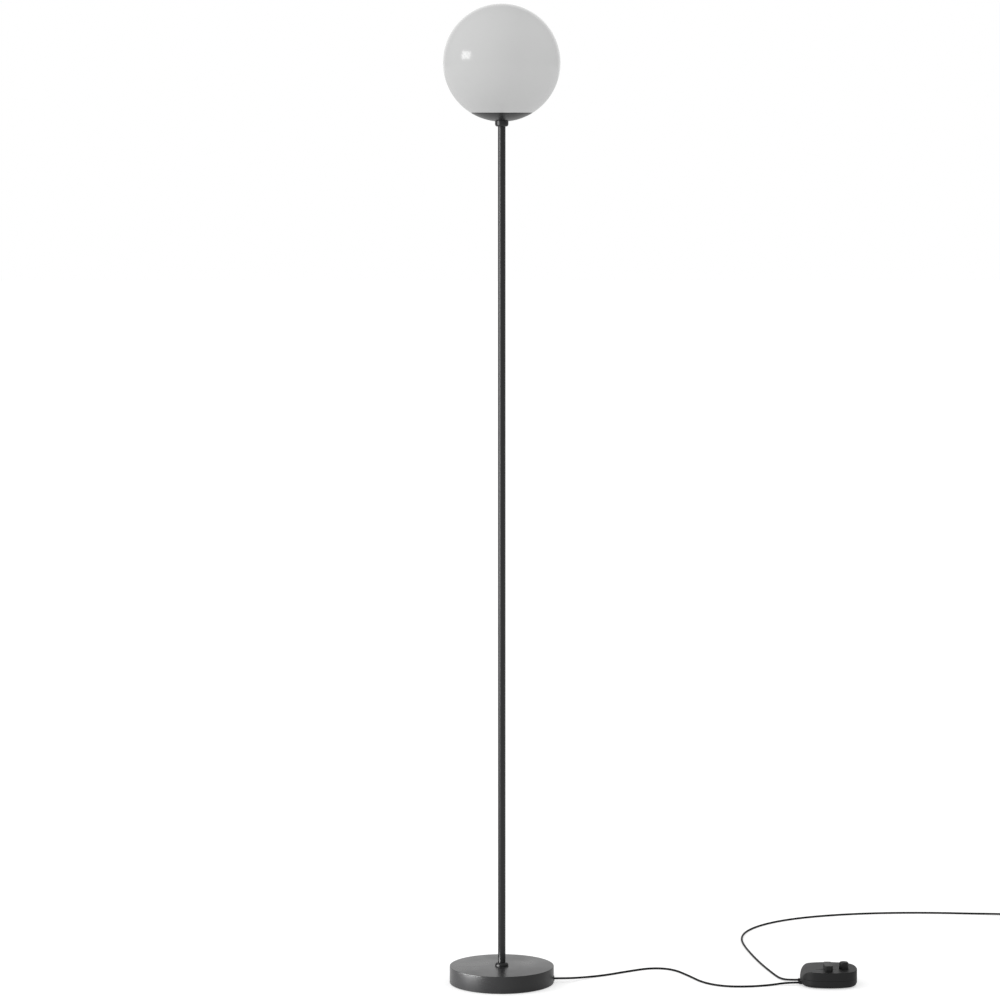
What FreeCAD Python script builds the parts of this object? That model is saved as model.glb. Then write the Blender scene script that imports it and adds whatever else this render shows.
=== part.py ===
import FreeCAD, Part
import math
import os

V = FreeCAD.Vector

# Globe floor lamp with an in-line foot dimmer. Millimetres, +Z up. The origin is on the floor,
# on the axis of the pole. The dimmer and the mains lead lie on the floor on the +X side.

# ---- driving dimensions -------------------------------------------------------------------
# base
base_d = 180.0
base_rise = 30.0            # floor to the top face
base_shadow_gap = 1.0       # floor to the rim of the disc
base_edge_round = 0.8
pad_t = 2.0
pad_d = 172.0
pad_bore_d = 124.0
pocket_d = 80.0             # wiring pocket in the underside
pocket_roof_z = 18.0
cover_t = 1.0
cover_d = 120.0
cover_screw_pcd = 100.0
cover_screw_count = 3
cover_screw_d = 3.0
cover_screw_grip = 7.0
cover_head_d = 6.4
cover_head_t = 0.7

# pole and the two collars that hold its ends
pole_d = 13.0
pole_wall = 1.2
pole_length = 1451.5
collar_d = 23.0
foot_collar_h = 6.0
head_collar_h = 9.0
collar_round = 4.2
collar_floor_t = 1.8
thread_d = 10.0             # hollow M10 x 1 studs
stud_bore_d = 7.0
stud_grip = 22.0            # length of a stud inside the pole
nut_af = 14.0
nut_t = 4.0
washer_d = 15.0
washer_t = 0.8
grub_d = 3.0

# globe and the cap that carries it
globe_d = 200.0
glass_t = 3.0
cap_d = 104.4
cap_t = 2.0
cap_floor_t = 2.5
gasket_t = 0.5
plate_d = 84.0
plate_t = 1.0
clip_count = 3
clip_t = 0.5
clip_w = 10.0
rivet_d = 3.0
rivet_head_d = 5.0

# lamp holder and bulb
holder_d = 40.0
holder_wall = 1.8
holder_base_h = 20.0
holder_sleeve_h = 32.0
holder_mouth_d = 29.0
core_floor_t = 8.0
core_h = 27.0
core_wall = 2.6
shell_t = 0.4
bulb_cap_d = 26.4
bulb_cap_h = 20.0
bulb_nose_h = 5.0
bulb_d = 60.0
bulb_body_h = 37.0
bulb_body_round = 3.0
bulb_dome_lift = 12.0
bulb_dome_wall = 1.4

# cord, used for the lead from the base, the mains lead and its coil
cord_d = 3.6
cord_exit_z = 7.4           # where the lead leaves the side of the base
cord_bend_r = 10.0          # inside the base, up into the pole
core_wire_d = 1.6
grommet_d = 7.0
grommet_flange_d = 9.0
grommet_flange_t = 1.0
clamp_x = 29.0
clamp_l = 9.0
clamp_w = 24.0
clamp_t = 5.0
clamp_screw_d = 2.9
clamp_screw_head_d = 5.4

# foot dimmer housing
dimmer_x = 564.0
dimmer_y = -8.5
dimmer_l = 98.0
dimmer_w = 91.0
dimmer_top_z = 28.0
dimmer_split_z = 13.6
dimmer_side_r = 90.0        # bow of the four sides
dimmer_corner_r = 28.0
dimmer_wall = 2.0
dimmer_floor_t = 1.6
dimmer_split_gap = 0.4
dimmer_edge_r = 1.6
dimmer_foot_edge_r = 6.0
dimmer_nose_l = 16.0        # roll-down of the deck towards the cord end
dimmer_nose_h = 20.0
foot_t = 1.2
foot_d = 10.0
foot_let_in = 0.4
foot_x = 33.0
foot_y = 13.0
boss_x = 31.0
boss_y = 28.0
boss_d = 7.0
dimmer_screw_d = 2.6
dimmer_screw_head_d = 4.8
dimmer_screw_head_t = 1.8
entry_pitch = 21.0          # between the two cords
entry_z = 4.3

# dimmer controls, measured from the centre of the housing
slider_x = -2.0
slider_y = -14.0
slider_l = 38.0             # across the housing
slider_w = 14.0
slider_h = 9.7
slider_corner_r = 4.0
slider_back = 19.0          # travel towards the cords
slider_forward = 11.0       # travel away from them
lever_l = 4.0
lever_t = 1.0
slot_w = 1.6
button_x = 25.6
button_y = -7.5
button_d = 16.0
button_h = 12.0
button_round = 2.6
button_travel = 3.0
button_flange_d = 20.0
button_flange_t = 1.5
plunger_d = 4.0
running_gap = 0.3

# dimmer electrics
board_l = 72.0
board_w = 47.0
board_x = 7.0
board_t = 1.6
board_z = 9.0
pot_l = 45.0
pot_w = 9.0
pot_h = 7.5
switch_w = 12.0
switch_h = 7.0
terminal_l = 8.0
terminal_w = 28.0
terminal_h = 9.0
terminal_x = -25.0
terminal_y = 8.0
choke_d = 14.0
choke_h = 9.0
choke_x = -4.0
choke_y = 13.5
capacitor_l = 18.0
capacitor_w = 7.0
capacitor_h = 11.0
capacitor_x = 15.0
capacitor_y = 15.0
sink_l = 16.0
sink_t = 1.5
sink_h = 12.0
sink_x = 33.0
sink_y = 15.0

# coil of the stored length, its tie and the plug
coil_layers = 2
coil_turns = 7
coil_mean_d = 12.0 * cord_d
coil_pitch = 4.15
tie_t = 0.8
tie_w = 9.0
plug_t = 13.7
plug_l = 35.0
plug_w = 26.0
plug_grip_w = 35.0
plug_tail_w = 16.0
plug_edge_r = 3.0
plug_relief_l = 24.0
plug_relief_d = 8.0
pin_d = 4.0
pin_l = 19.0
pin_pitch = 18.6
pin_tip_round = 1.2

# clearances
thread_gap = 0.1
cord_gap = 0.1
seat_gap = 0.1

# Routes of the two free cords, corner by corner: each run is straight and each corner is rounded.
lamp_lead_route = [
    (91.0, 0.0, 7.4), (117.0, 0.0, 7.4), (148.0, 31.0, 2.4), (182.0, 50.0, 1.8),
    (218.0, 77.0, 1.8), (262.0, 106.0, 1.8), (300.0, 96.0, 1.8), (325.0, 46.0, 1.8),
    (347.0, -8.0, 1.8), (381.0, -37.0, 1.8), (425.0, -39.0, 1.8), (463.0, -27.0, 1.8),
    (492.0, -19.0, 4.3), (512.5, -19.0, 4.3)]
mains_lead_route = [
    (512.5, 2.0, 4.3), (500.5, 2.0, 4.3), (489.5, 9.2, 3.3), (480.5, 31.0, 1.8),
    (471.5, 70.0, 1.8), (461.5, 118.0, 1.8), (452.0, 172.0, 1.8), (444.0, 228.0, 1.8),
    (437.5, 284.0, 1.8), (435.0, 340.0, 1.8), (443.0, 392.0, 1.8), (464.0, 440.0, 1.8),
    (498.0, 483.0, 1.8), (543.0, 518.0, 1.8), (596.0, 543.0, 1.8), (653.0, 560.0, 1.8),
    (711.0, 569.5, 1.8), (770.0, 572.5, 1.8), (829.0, 570.5, 1.8), (884.0, 564.5, 1.8),
    (930.0, 558.0, 2.6), (966.0, 552.0, 2.6)]

# ---- sizes that follow --------------------------------------------------------------------
base_r = base_d / 2
cord_r = cord_d / 2
pad_seat_z = pad_t
cover_z = pad_seat_z - cover_t
pole_foot_z = base_rise + collar_floor_t
pole_head_z = pole_foot_z + pole_length
cap_z = pole_head_z + collar_floor_t
thread_r = thread_d / 2
thread_hole_r = thread_r + thread_gap
globe_r = globe_d / 2
cap_flat_r = collar_d / 2 + 0.3
globe_z = cap_z + math.sqrt(globe_r ** 2 - cap_flat_r ** 2)


# ---- helpers ------------------------------------------------------------------------------
def turned(start, *steps):
    """Solid turned about Z. Each step is the (radius, height) of a line's end,
    or a pair of them: a point on an arc and the arc's end."""
    edges = []
    here = V(start[0], 0, start[1])
    for step in steps + (start,):
        if isinstance(step[0], tuple):
            middle = V(step[0][0], 0, step[0][1])
            end = V(step[1][0], 0, step[1][1])
            edges.append(Part.Arc(here, middle, end).toShape())
        else:
            end = V(step[0], 0, step[1])
            if end.distanceToPoint(here) > 1e-6:
                edges.append(Part.LineSegment(here, end).toShape())
        here = end
    return Part.Face(Part.Wire(edges)).revolve(V(0, 0, 0), V(0, 0, 1), 360)


def arc_step(centre_r, centre_z, radius, start_deg, end_deg):
    """Arc step for turned(), from its centre, radius and angles in the radius-height plane."""
    def at(degrees):
        angle = math.radians(degrees)
        return (round(centre_r + radius * math.cos(angle), 9), centre_z + radius * math.sin(angle))
    return (at((start_deg + end_deg) / 2), at(end_deg))


def rod(radius, height, x=0.0, y=0.0, z=0.0, axis=V(0, 0, 1)):
    return Part.makeCylinder(radius, height, V(x, y, z), axis)


def ring(outer_r, inner_r, height, z):
    return rod(outer_r, height, z=z).cut(rod(inner_r, height, z=z))


def block(length, width, height, x, y, z):
    """Box centred on x and y that stands on z."""
    return Part.makeBox(length, width, height, V(x - length / 2, y - width / 2, z))


def around(count, first_deg=0.0):
    """Evenly spaced angles of a circular pattern."""
    return [first_deg + 360.0 * index / count for index in range(count)]


def turned_about_axis(shape, degrees):
    copy = shape.copy()
    copy.rotate(V(0, 0, 0), V(0, 0, 1), degrees)
    return copy


def hex_nut(across_flats, bore_r, height, z):
    corner_r = across_flats / math.sqrt(3)
    corners = [V(corner_r * math.cos(math.radians(a)), corner_r * math.sin(math.radians(a)), z)
               for a in around(6, 30)]
    prism = Part.Face(Part.makePolygon(corners + corners[:1])).extrude(V(0, 0, height))
    round_off = turned((0, z), (across_flats / 2, z), (corner_r, z + height * 0.2),
                       (corner_r, z + height * 0.8), (across_flats / 2, z + height),
                       (0, z + height))
    return prism.common(round_off).cut(rod(bore_r, height, z=z))


def sphere_z(radius, r):
    """Height of the globe-centred sphere's lower half at radius r from the axis."""
    return globe_z - math.sqrt(radius ** 2 - r ** 2)


def sphere_r(radius, z):
    """Radius from the axis of the globe-centred sphere at height z."""
    return math.sqrt(radius ** 2 - (globe_z - z) ** 2)


def rounded_path(points):
    """Wire of straight runs joined by tangent arcs, with its length and its smallest radius."""
    corners = [V(*point) for point in points]
    edges = []
    radii = []
    here = corners[0]
    for before, corner, after in zip(corners, corners[1:], corners[2:]):
        run_in = corner - before
        run_out = after - corner
        turn = run_in.getAngle(run_out)
        reach = 0.45 * min(run_in.Length, run_out.Length)
        radius = reach / math.tan(turn / 2)
        start = corner - run_in.normalize() * reach
        end = corner + run_out.normalize() * reach
        inward = (start + end - corner * 2).normalize()
        middle = corner + inward * (radius / math.cos(turn / 2) - radius)
        edges.append(Part.LineSegment(here, start).toShape())
        edges.append(Part.Arc(start, middle, end).toShape())
        radii.append(radius)
        here = end
    edges.append(Part.LineSegment(here, corners[-1]).toShape())
    wire = Part.Wire(edges)
    return wire, wire.Length, radii


def swept(wire, radius):
    """Round tube along a wire, starting square to it."""
    first = wire.Edges[0]
    start = first.valueAt(first.FirstParameter)
    heading = first.tangentAt(first.FirstParameter)
    section = Part.Wire([Part.makeCircle(radius, start, heading)])
    return Part.Wire(wire.Edges).makePipeShell([section], True, False)


def cord(name, points, radius):
    wire, length, radii = rounded_path(points)
    tube = swept(wire, radius)
    share = tube.Volume / (math.pi * radius ** 2 * length)
    print(name, "length %.1f" % length, "least radius %.1f" % min(radii),
          "volume / (section x length) %.4f" % share)
    print("   radii", " ".join("%.0f" % r for r in radii))
    return tube


def group(*solids):
    return Part.makeCompound([piece for solid in solids for piece in solid.Solids])


# ---- base ---------------------------------------------------------------------------------
def make_base_disc():
    pocket_r = pocket_d / 2
    seat_r = pad_d / 2 + 0.5
    edge = base_edge_round
    disc = turned((thread_hole_r, base_rise), (base_r - edge, base_rise),
                  arc_step(base_r - edge, base_rise - edge, edge, 90, 0),
                  (base_r, base_shadow_gap + edge),
                  (base_r - edge, base_shadow_gap), (seat_r, base_shadow_gap),
                  (seat_r, pad_seat_z), (pocket_r, pad_seat_z),
                  (pocket_r, pocket_roof_z), (thread_hole_r, pocket_roof_z))
    boss_z = cord_exit_z + cord_r + 0.2
    boss = block(clamp_l, clamp_w, pocket_roof_z - boss_z + 1, clamp_x, 0, boss_z)
    disc = disc.fuse(boss).removeSplitter()
    disc = disc.cut(rod(grommet_d / 2, base_r, pocket_r - 5, 0, cord_exit_z, V(1, 0, 0)))
    for side in (-1, 1):
        disc = disc.cut(rod(clamp_screw_d / 2, 8, clamp_x, side * clamp_w * 0.32, boss_z))
    tapped = rod(cover_screw_d / 2 + 0.05, cover_screw_grip + 1, cover_screw_pcd / 2, 0, pad_seat_z)
    for angle in around(cover_screw_count, 60):
        disc = disc.cut(turned_about_axis(tapped, angle))
    return disc


def make_base_pad():
    return ring(pad_d / 2, pad_bore_d / 2, pad_t, 0)


def make_base_cover():
    cover = rod(cover_d / 2, cover_t, z=cover_z)
    hole = rod(cover_screw_d / 2 + 0.2, cover_t, cover_screw_pcd / 2, 0, cover_z)
    for angle in around(cover_screw_count, 60):
        cover = cover.cut(turned_about_axis(hole, angle))
    return cover


def make_cover_screws():
    screw_r = cover_screw_d / 2
    head_z = cover_z - cover_head_t
    screw = turned((0, head_z), (cover_head_d / 2 - 0.3, head_z), (cover_head_d / 2, head_z + 0.3),
                   (cover_head_d / 2, cover_z), (screw_r, cover_z),
                   (screw_r, pad_seat_z + cover_screw_grip - 0.5),
                   (screw_r - 0.5, pad_seat_z + cover_screw_grip), (0, pad_seat_z + cover_screw_grip))
    screw.translate(V(cover_screw_pcd / 2, 0, 0))
    return group(*[turned_about_axis(screw, angle) for angle in around(cover_screw_count, 60)])


def make_base_washer():
    return ring(washer_d / 2, thread_hole_r, washer_t, pocket_roof_z - washer_t)


def make_base_nut():
    return hex_nut(nut_af, thread_hole_r, nut_t, pocket_roof_z - washer_t - nut_t)


def make_base_grommet():
    bore_r = cord_r + cord_gap
    outer_r = grommet_d / 2
    inner_x = pocket_d / 2 + 12
    sleeve = rod(outer_r, base_r - inner_x, inner_x, 0, cord_exit_z, V(1, 0, 0))
    flange = rod(grommet_flange_d / 2, grommet_flange_t, base_r, 0, cord_exit_z, V(1, 0, 0))
    flange = flange.makeFillet(0.5, [flange.Edges[0] if flange.Edges[0].CenterOfMass.x > base_r + 0.5
                                     else flange.Edges[2]])
    body = sleeve.fuse(flange)
    return body.cut(rod(bore_r, base_r, inner_x - 1, 0, cord_exit_z, V(1, 0, 0)))


def make_cord_clamp():
    top = cord_exit_z + cord_r - 0.2
    saddle = block(clamp_l, clamp_w, clamp_t, clamp_x, 0, top - clamp_t)
    saddle = saddle.makeFillet(1.0, [e for e in saddle.Edges if e.CenterOfMass.z < top - clamp_t + 0.01])
    groove = rod(cord_r + 0.05, clamp_l + 2, clamp_x - clamp_l / 2 - 1, 0, cord_exit_z, V(1, 0, 0))
    mouth = block(clamp_l + 2, cord_d + 0.1, cord_d, clamp_x, 0, cord_exit_z)
    saddle = saddle.cut(groove).cut(mouth)
    for side in (-1, 1):
        saddle = saddle.cut(rod(clamp_screw_d / 2 + 0.2, 12, clamp_x, side * clamp_w * 0.32, 0))
    return saddle


def make_clamp_screws():
    top = cord_exit_z + cord_r - 0.2
    head_z = top - clamp_t - 1.6
    head_r = clamp_screw_head_d / 2
    screw_r = clamp_screw_d / 2 - 0.05
    screws = []
    for side in (-1, 1):
        screw = turned((0, head_z), (head_r - 0.5, head_z), (head_r, head_z + 0.6),
                       (head_r, head_z + 1.6), (screw_r, head_z + 1.6), (screw_r, top + 6), (0, top + 6))
        screw.translate(V(clamp_x, side * clamp_w * 0.32, 0))
        screws.append(screw)
    return group(*screws)


# ---- pole ---------------------------------------------------------------------------------
def make_pole():
    return ring(pole_d / 2, pole_d / 2 - pole_wall, pole_length, pole_foot_z)


def make_foot_collar():
    top = base_rise + foot_collar_h
    bore_r = pole_d / 2 + thread_gap
    return turned((thread_hole_r, base_rise), (collar_d / 2, base_rise),
                  (collar_d / 2, top - collar_round),
                  arc_step(collar_d / 2 - collar_round, top - collar_round, collar_round, 0, 90),
                  (bore_r, top), (bore_r, pole_foot_z), (thread_hole_r, pole_foot_z))


def make_head_collar():
    bottom = cap_z - head_collar_h
    bore_r = pole_d / 2 + thread_gap
    collar = turned((thread_hole_r, cap_z), (collar_d / 2, cap_z),
                    (collar_d / 2, bottom + collar_round),
                    arc_step(collar_d / 2 - collar_round, bottom + collar_round, collar_round, 0, -90),
                    (bore_r, bottom), (bore_r, pole_head_z), (thread_hole_r, pole_head_z))
    grub_z = cap_z - head_collar_h * 0.42
    return collar.cut(rod(grub_d / 2 + 0.05, collar_d, 0, -collar_d, grub_z, V(0, 1, 0)))


def make_grub_screw():
    grub_z = cap_z - head_collar_h * 0.42
    tip_y = -pole_d / 2 - 0.05
    length = collar_d / 2 + tip_y - 0.1
    screw = rod(grub_d / 2, length, 0, tip_y - length, grub_z, V(0, 1, 0))
    corners = [V(0.86 * math.cos(math.radians(a)), tip_y - length - 1, grub_z + 0.86 * math.sin(math.radians(a)))
               for a in around(6)]
    socket = Part.Face(Part.makePolygon(corners + corners[:1])).extrude(V(0, 2.6, 0))
    return screw.cut(socket)


def make_stud(grip_z, seat_z, end_z, towards):
    """Hollow stud: a plain shank inside the pole and a threaded end that leaves it."""
    shank_r = pole_d / 2 - pole_wall - 0.05
    bore_r = stud_bore_d / 2
    chamfer = 0.6
    return turned((bore_r, grip_z), (shank_r - chamfer, grip_z), (shank_r, grip_z + towards * chamfer),
                  (shank_r, seat_z), (thread_r, seat_z), (thread_r, end_z - towards * chamfer),
                  (thread_r - chamfer, end_z), (bore_r, end_z))


def make_foot_stud():
    end_z = pocket_roof_z - washer_t - nut_t - 1.2
    return make_stud(pole_foot_z + stud_grip, pole_foot_z, end_z, -1)


def make_head_stud():
    end_z = plate_top_z() + 7.5
    return make_stud(pole_head_z - stud_grip, pole_head_z, end_z, 1)


# ---- cap, glass and what holds it ---------------------------------------------------------
def rim_z():
    return sphere_z(globe_r, cap_d / 2)


def plate_top_z():
    return sphere_z(globe_r - cap_t, plate_d / 2) + seat_gap + plate_t


def make_globe_cap():
    inner_r = globe_r - cap_t
    floor_z = cap_z + cap_floor_t
    outer_mid = (cap_flat_r + cap_d / 2) / 2
    rim_inner = sphere_r(inner_r, rim_z())
    floor_r = sphere_r(inner_r, floor_z)
    inner_mid = (rim_inner + floor_r) / 2
    return turned((thread_hole_r, cap_z), (cap_flat_r, cap_z),
                  ((outer_mid, sphere_z(globe_r, outer_mid)), (cap_d / 2, rim_z())),
                  (rim_inner, rim_z()),
                  ((inner_mid, sphere_z(inner_r, inner_mid)), (floor_r, floor_z)),
                  (thread_hole_r, floor_z))


def make_cap_washer():
    return ring(washer_d / 2, thread_hole_r, washer_t, cap_z + cap_floor_t)


def make_cap_nut():
    return hex_nut(nut_af, thread_hole_r, nut_t - 0.5, cap_z + cap_floor_t + washer_t)


def make_glass_gasket():
    outer = sphere_r(globe_r, rim_z()) - 0.4
    inner = sphere_r(globe_r - cap_t, rim_z()) + 0.4
    return ring(outer, inner, gasket_t, rim_z())


def make_glass_globe():
    edge_z = rim_z() + gasket_t
    inner_r = globe_r - glass_t
    outer_edge = sphere_r(globe_r, edge_z)
    inner_edge = sphere_r(inner_r, edge_z)
    return turned((0, globe_z + inner_r), ((inner_r, globe_z), (inner_edge, edge_z)),
                  (outer_edge, edge_z), ((globe_r, globe_z), (0, globe_z + globe_r)))


def make_clip_plate():
    """Pressed steel disc inside the cap, with a well in the middle that stands on the cap's nut."""
    top = plate_top_z()
    well_z = cap_z + cap_floor_t + washer_t + nut_t - 0.5 + seat_gap
    well_r = nut_af / 2 + 2.5
    plate = turned((thread_hole_r, well_z), (well_r, well_z), (well_r, top - plate_t),
                   (plate_d / 2, top - plate_t), (plate_d / 2, top),
                   (well_r - plate_t, top), (well_r - plate_t, well_z + plate_t),
                   (thread_hole_r, well_z + plate_t))
    hole = rod(rivet_d / 2 + 0.05, plate_t + 2, rivet_x(), 0, top - plate_t - 1)
    for angle in around(clip_count, 90):
        plate = plate.cut(turned_about_axis(hole, angle))
    return plate


def rivet_x():
    return plate_d / 2 - 8.0


def make_glass_clips():
    """Bent leaf springs that hook over the inside edge of the glass and pull it down on the cap."""
    top = plate_top_z() + clip_t / 2
    edge_z = rim_z() + gasket_t
    glass_r = globe_r - glass_t
    hump_z = edge_z + 6.5
    hump_r = sphere_r(glass_r, hump_z) - running_gap - clip_t
    leg_r = sphere_r(glass_r, edge_z) - running_gap - clip_t - 1.2
    points = [(rivet_x() - 4.0, 0, top), (leg_r - 2.5, 0, top), (leg_r, 0, edge_z + 0.3),
              (hump_r, 0, hump_z), (hump_r - 2.0, 0, hump_z + 5.5)]
    wire = rounded_path(points)[0]
    start = V(*points[0])
    section = Part.makePolygon([start + V(0, side * clip_w / 2, rise * clip_t / 2)
                                for side, rise in ((-1, -1), (1, -1), (1, 1), (-1, 1), (-1, -1))])
    leaf = wire.makePipeShell([section], True, False)
    leaf = leaf.cut(rod(rivet_d / 2 + 0.05, 4, rivet_x(), 0, top - 2))
    return group(*[turned_about_axis(leaf, angle) for angle in around(clip_count, 90)])


def make_clip_rivets():
    top = plate_top_z()
    rivet = turned((0, top - plate_t - 0.8), (rivet_head_d / 2 - 0.4, top - plate_t - 0.8),
                   (rivet_head_d / 2, top - plate_t), (rivet_d / 2, top - plate_t),
                   (rivet_d / 2, top + clip_t), (rivet_head_d / 2, top + clip_t),
                   (rivet_head_d / 2 - 0.6, top + clip_t + 1.0), (0, top + clip_t + 1.0))
    rivet.translate(V(rivet_x(), 0, 0))
    return group(*[turned_about_axis(rivet, angle) for angle in around(clip_count, 90)])


# ---- lamp holder and bulb -----------------------------------------------------------------
def make_holder_base():
    bottom = plate_top_z()
    top = bottom + holder_base_h
    outer = holder_d / 2
    inner = outer - holder_wall
    neck = thread_r + 4.0
    return turned((thread_hole_r, bottom), (neck, bottom),
                  ((outer - 4.5, bottom + holder_base_h * 0.28), (outer, bottom + holder_base_h * 0.75)),
                  (outer, top), (inner, top), (inner, bottom + holder_base_h * 0.75),
                  ((inner - 4.2, bottom + holder_base_h * 0.36), (neck, bottom + holder_wall + 1.5)),
                  (thread_hole_r, bottom + holder_wall + 1.5))


def holder_core_z():
    return plate_top_z() + holder_base_h


def make_holder_core():
    z = holder_core_z()
    outer = holder_d / 2 - holder_wall - seat_gap
    core = turned((0, z), (outer, z), (outer, z + core_floor_t), (outer - 0.8, z + core_floor_t),
                  (outer - 0.8, z + core_h), (outer - 0.8 - core_wall, z + core_h),
                  (outer - 0.8 - core_wall, z + core_floor_t), (0, z + core_floor_t))
    for side in (-1, 1):
        core = core.cut(rod(core_wire_d / 2 + 0.1, core_floor_t / 2, side * 9.0, 0, z))
    return core


def make_holder_sleeve():
    z = holder_core_z()
    outer = holder_d / 2
    inner = outer - holder_wall
    top = z + holder_sleeve_h
    mouth = holder_mouth_d / 2
    lip = 3.0
    return turned((inner, z), (outer, z), (outer, top - lip),
                  arc_step(outer - lip, top - lip, lip, 0, 90), (mouth, top),
                  (mouth, top - lip), (inner, top - lip))


def make_screw_shell():
    z = holder_core_z() + core_floor_t
    outer = bulb_cap_d / 2 + running_gap + shell_t
    return ring(outer, outer - shell_t, core_h - core_floor_t - 1.0, z)


def make_centre_contact():
    z = holder_core_z() + core_floor_t
    wire = rounded_path([(-7.0, 0, z + 0.3), (-1.0, 0, z + 0.3), (4.0, 0, z + 2.6), (-3.0, 0, z + 3.4)])[0]
    start = V(-7.0, 0, z + 0.3)
    section = Part.makePolygon([start + V(0, side * 2.5, rise * 0.2)
                                for side, rise in ((-1, -1), (1, -1), (1, 1), (-1, 1), (-1, -1))])
    return wire.makePipeShell([section], True, False)


def bulb_tip_z():
    return holder_core_z() + core_floor_t + 3.8


def make_bulb_cap():
    z = bulb_tip_z() + bulb_nose_h
    outer = bulb_cap_d / 2
    return turned((outer - 6.0, z), (outer - 1.6, z), (outer, z + 1.8), (outer, z + bulb_cap_h),
                  (outer - 0.6, z + bulb_cap_h), (outer - 0.6, z + 2.2), (outer - 2.0, z + 0.6),
                  (outer - 6.0, z + 0.6))


def make_bulb_contact():
    z = bulb_tip_z()
    outer = bulb_cap_d / 2 - 6.0
    return turned((0, z), (3.6, z), (4.6, z + 1.0), (outer - 0.2, z + bulb_nose_h),
                  (outer - 0.2, z + bulb_nose_h + 1.0), (0, z + bulb_nose_h + 1.0))


def make_bulb_body():
    z = bulb_tip_z() + bulb_nose_h
    neck = bulb_cap_d / 2 - 0.6 - seat_gap
    collar = bulb_cap_d / 2 + 0.6
    foot = z + bulb_cap_h
    top = foot + bulb_body_h
    shoulder = bulb_d / 2 - 1.0
    return turned((0, z + 6.0), (neck, z + 6.0), (neck, foot + seat_gap), (collar, foot + seat_gap),
                  (collar, foot + 3.0), ((collar + 5.0, foot + bulb_body_h * 0.5), (shoulder, top)),
                  (0, top))


def make_bulb_dome():
    z = bulb_tip_z() + bulb_nose_h + bulb_cap_h + bulb_body_h
    centre = V(0, 0, z + bulb_dome_lift)
    outer = bulb_d / 2
    shell = Part.makeSphere(outer, centre).cut(Part.makeSphere(outer - bulb_dome_wall, centre))
    return shell.cut(rod(outer + 1, outer, z=z + 0.1 - outer))


def make_inner_cable():
    """Cable from the side of the base, round a bend and up the pole to the lamp holder."""
    exit_x = base_r + grommet_flange_t
    top_z = plate_top_z() + 9.0
    start = V(exit_x, 0, cord_exit_z)
    bend_in = V(cord_bend_r, 0, cord_exit_z)
    slope = math.sqrt(0.5)
    bend_mid = V(cord_bend_r * (1 - slope), 0, cord_exit_z + cord_bend_r * (1 - slope))
    bend_out = V(0, 0, cord_exit_z + cord_bend_r)
    wire = Part.Wire([Part.LineSegment(start, bend_in).toShape(),
                      Part.Arc(bend_in, bend_mid, bend_out).toShape(),
                      Part.LineSegment(bend_out, V(0, 0, top_z)).toShape()])
    print("inner_cable length %.1f" % wire.Length, "bend radius %.1f" % cord_bend_r)
    return swept(wire, cord_r)


def make_holder_wires():
    """The two insulated cores, from the end of the cable to the terminals of the holder."""
    bottom = plate_top_z() + 9.0
    top = holder_core_z() + core_floor_t / 2
    wires = []
    for side in (-1, 1):
        points = [(side * 0.85, 0, bottom), (side * 0.85, 0, bottom + 2.0),
                  (side * 9.0, 0, bottom + 6.5), (side * 9.0, 0, top)]
        wires.append(swept(rounded_path(points)[0], core_wire_d / 2))
    return group(*wires)


# ---- dimmer housing -----------------------------------------------------------------------
def soft_square(inset):
    """Plan of the housing: four bowed sides joined by four tangent corner arcs, drawn in by inset."""
    half_x = dimmer_l / 2
    half_y = dimmer_w / 2
    reach = dimmer_side_r - dimmer_corner_r
    side_y = V(0, half_y - dimmer_side_r, 0)
    side_x = V(half_x - dimmer_side_r, 0, 0)
    between = side_x - side_y
    across = V(between.y, -between.x, 0).normalize()
    corner = (side_x + side_y) * 0.5 + across * math.sqrt(reach ** 2 - (between.Length / 2) ** 2)
    joint_y = side_y + (corner - side_y).normalize() * (dimmer_side_r - inset)
    joint_x = side_x + (corner - side_x).normalize() * (dimmer_side_r - inset)
    bisector = ((corner - side_y).normalize() + (corner - side_x).normalize()).normalize()
    corner_mid = corner + bisector * (dimmer_corner_r - inset)
    flips = ((1, 1), (-1, 1), (-1, -1), (1, -1))

    def flipped(point, flip):
        return V(point.x * flip[0], point.y * flip[1], 0)
    edges = []
    for index, flip in enumerate(flips):
        following = flips[(index + 1) % 4]
        first, last = (joint_x, joint_y) if index % 2 == 0 else (joint_y, joint_x)
        edges.append(Part.Arc(flipped(first, flip), flipped(corner_mid, flip),
                              flipped(last, flip)).toShape())
        side_mid = V(0, flip[1] * (half_y - inset), 0) if index % 2 == 0 \
            else V(flip[0] * (half_x - inset), 0, 0)
        edges.append(Part.Arc(flipped(last, flip), side_mid, flipped(last, following)).toShape())
    return Part.Face(Part.Wire(edges))


def housing_block(inset, bottom_z, top_z):
    """The housing's form between two heights, drawn in by inset and rolled down at the cord end."""
    body = soft_square(inset).extrude(V(0, 0, top_z - bottom_z))
    body.translate(V(0, 0, bottom_z))
    return body.cut(nose_cutter(inset))


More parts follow.
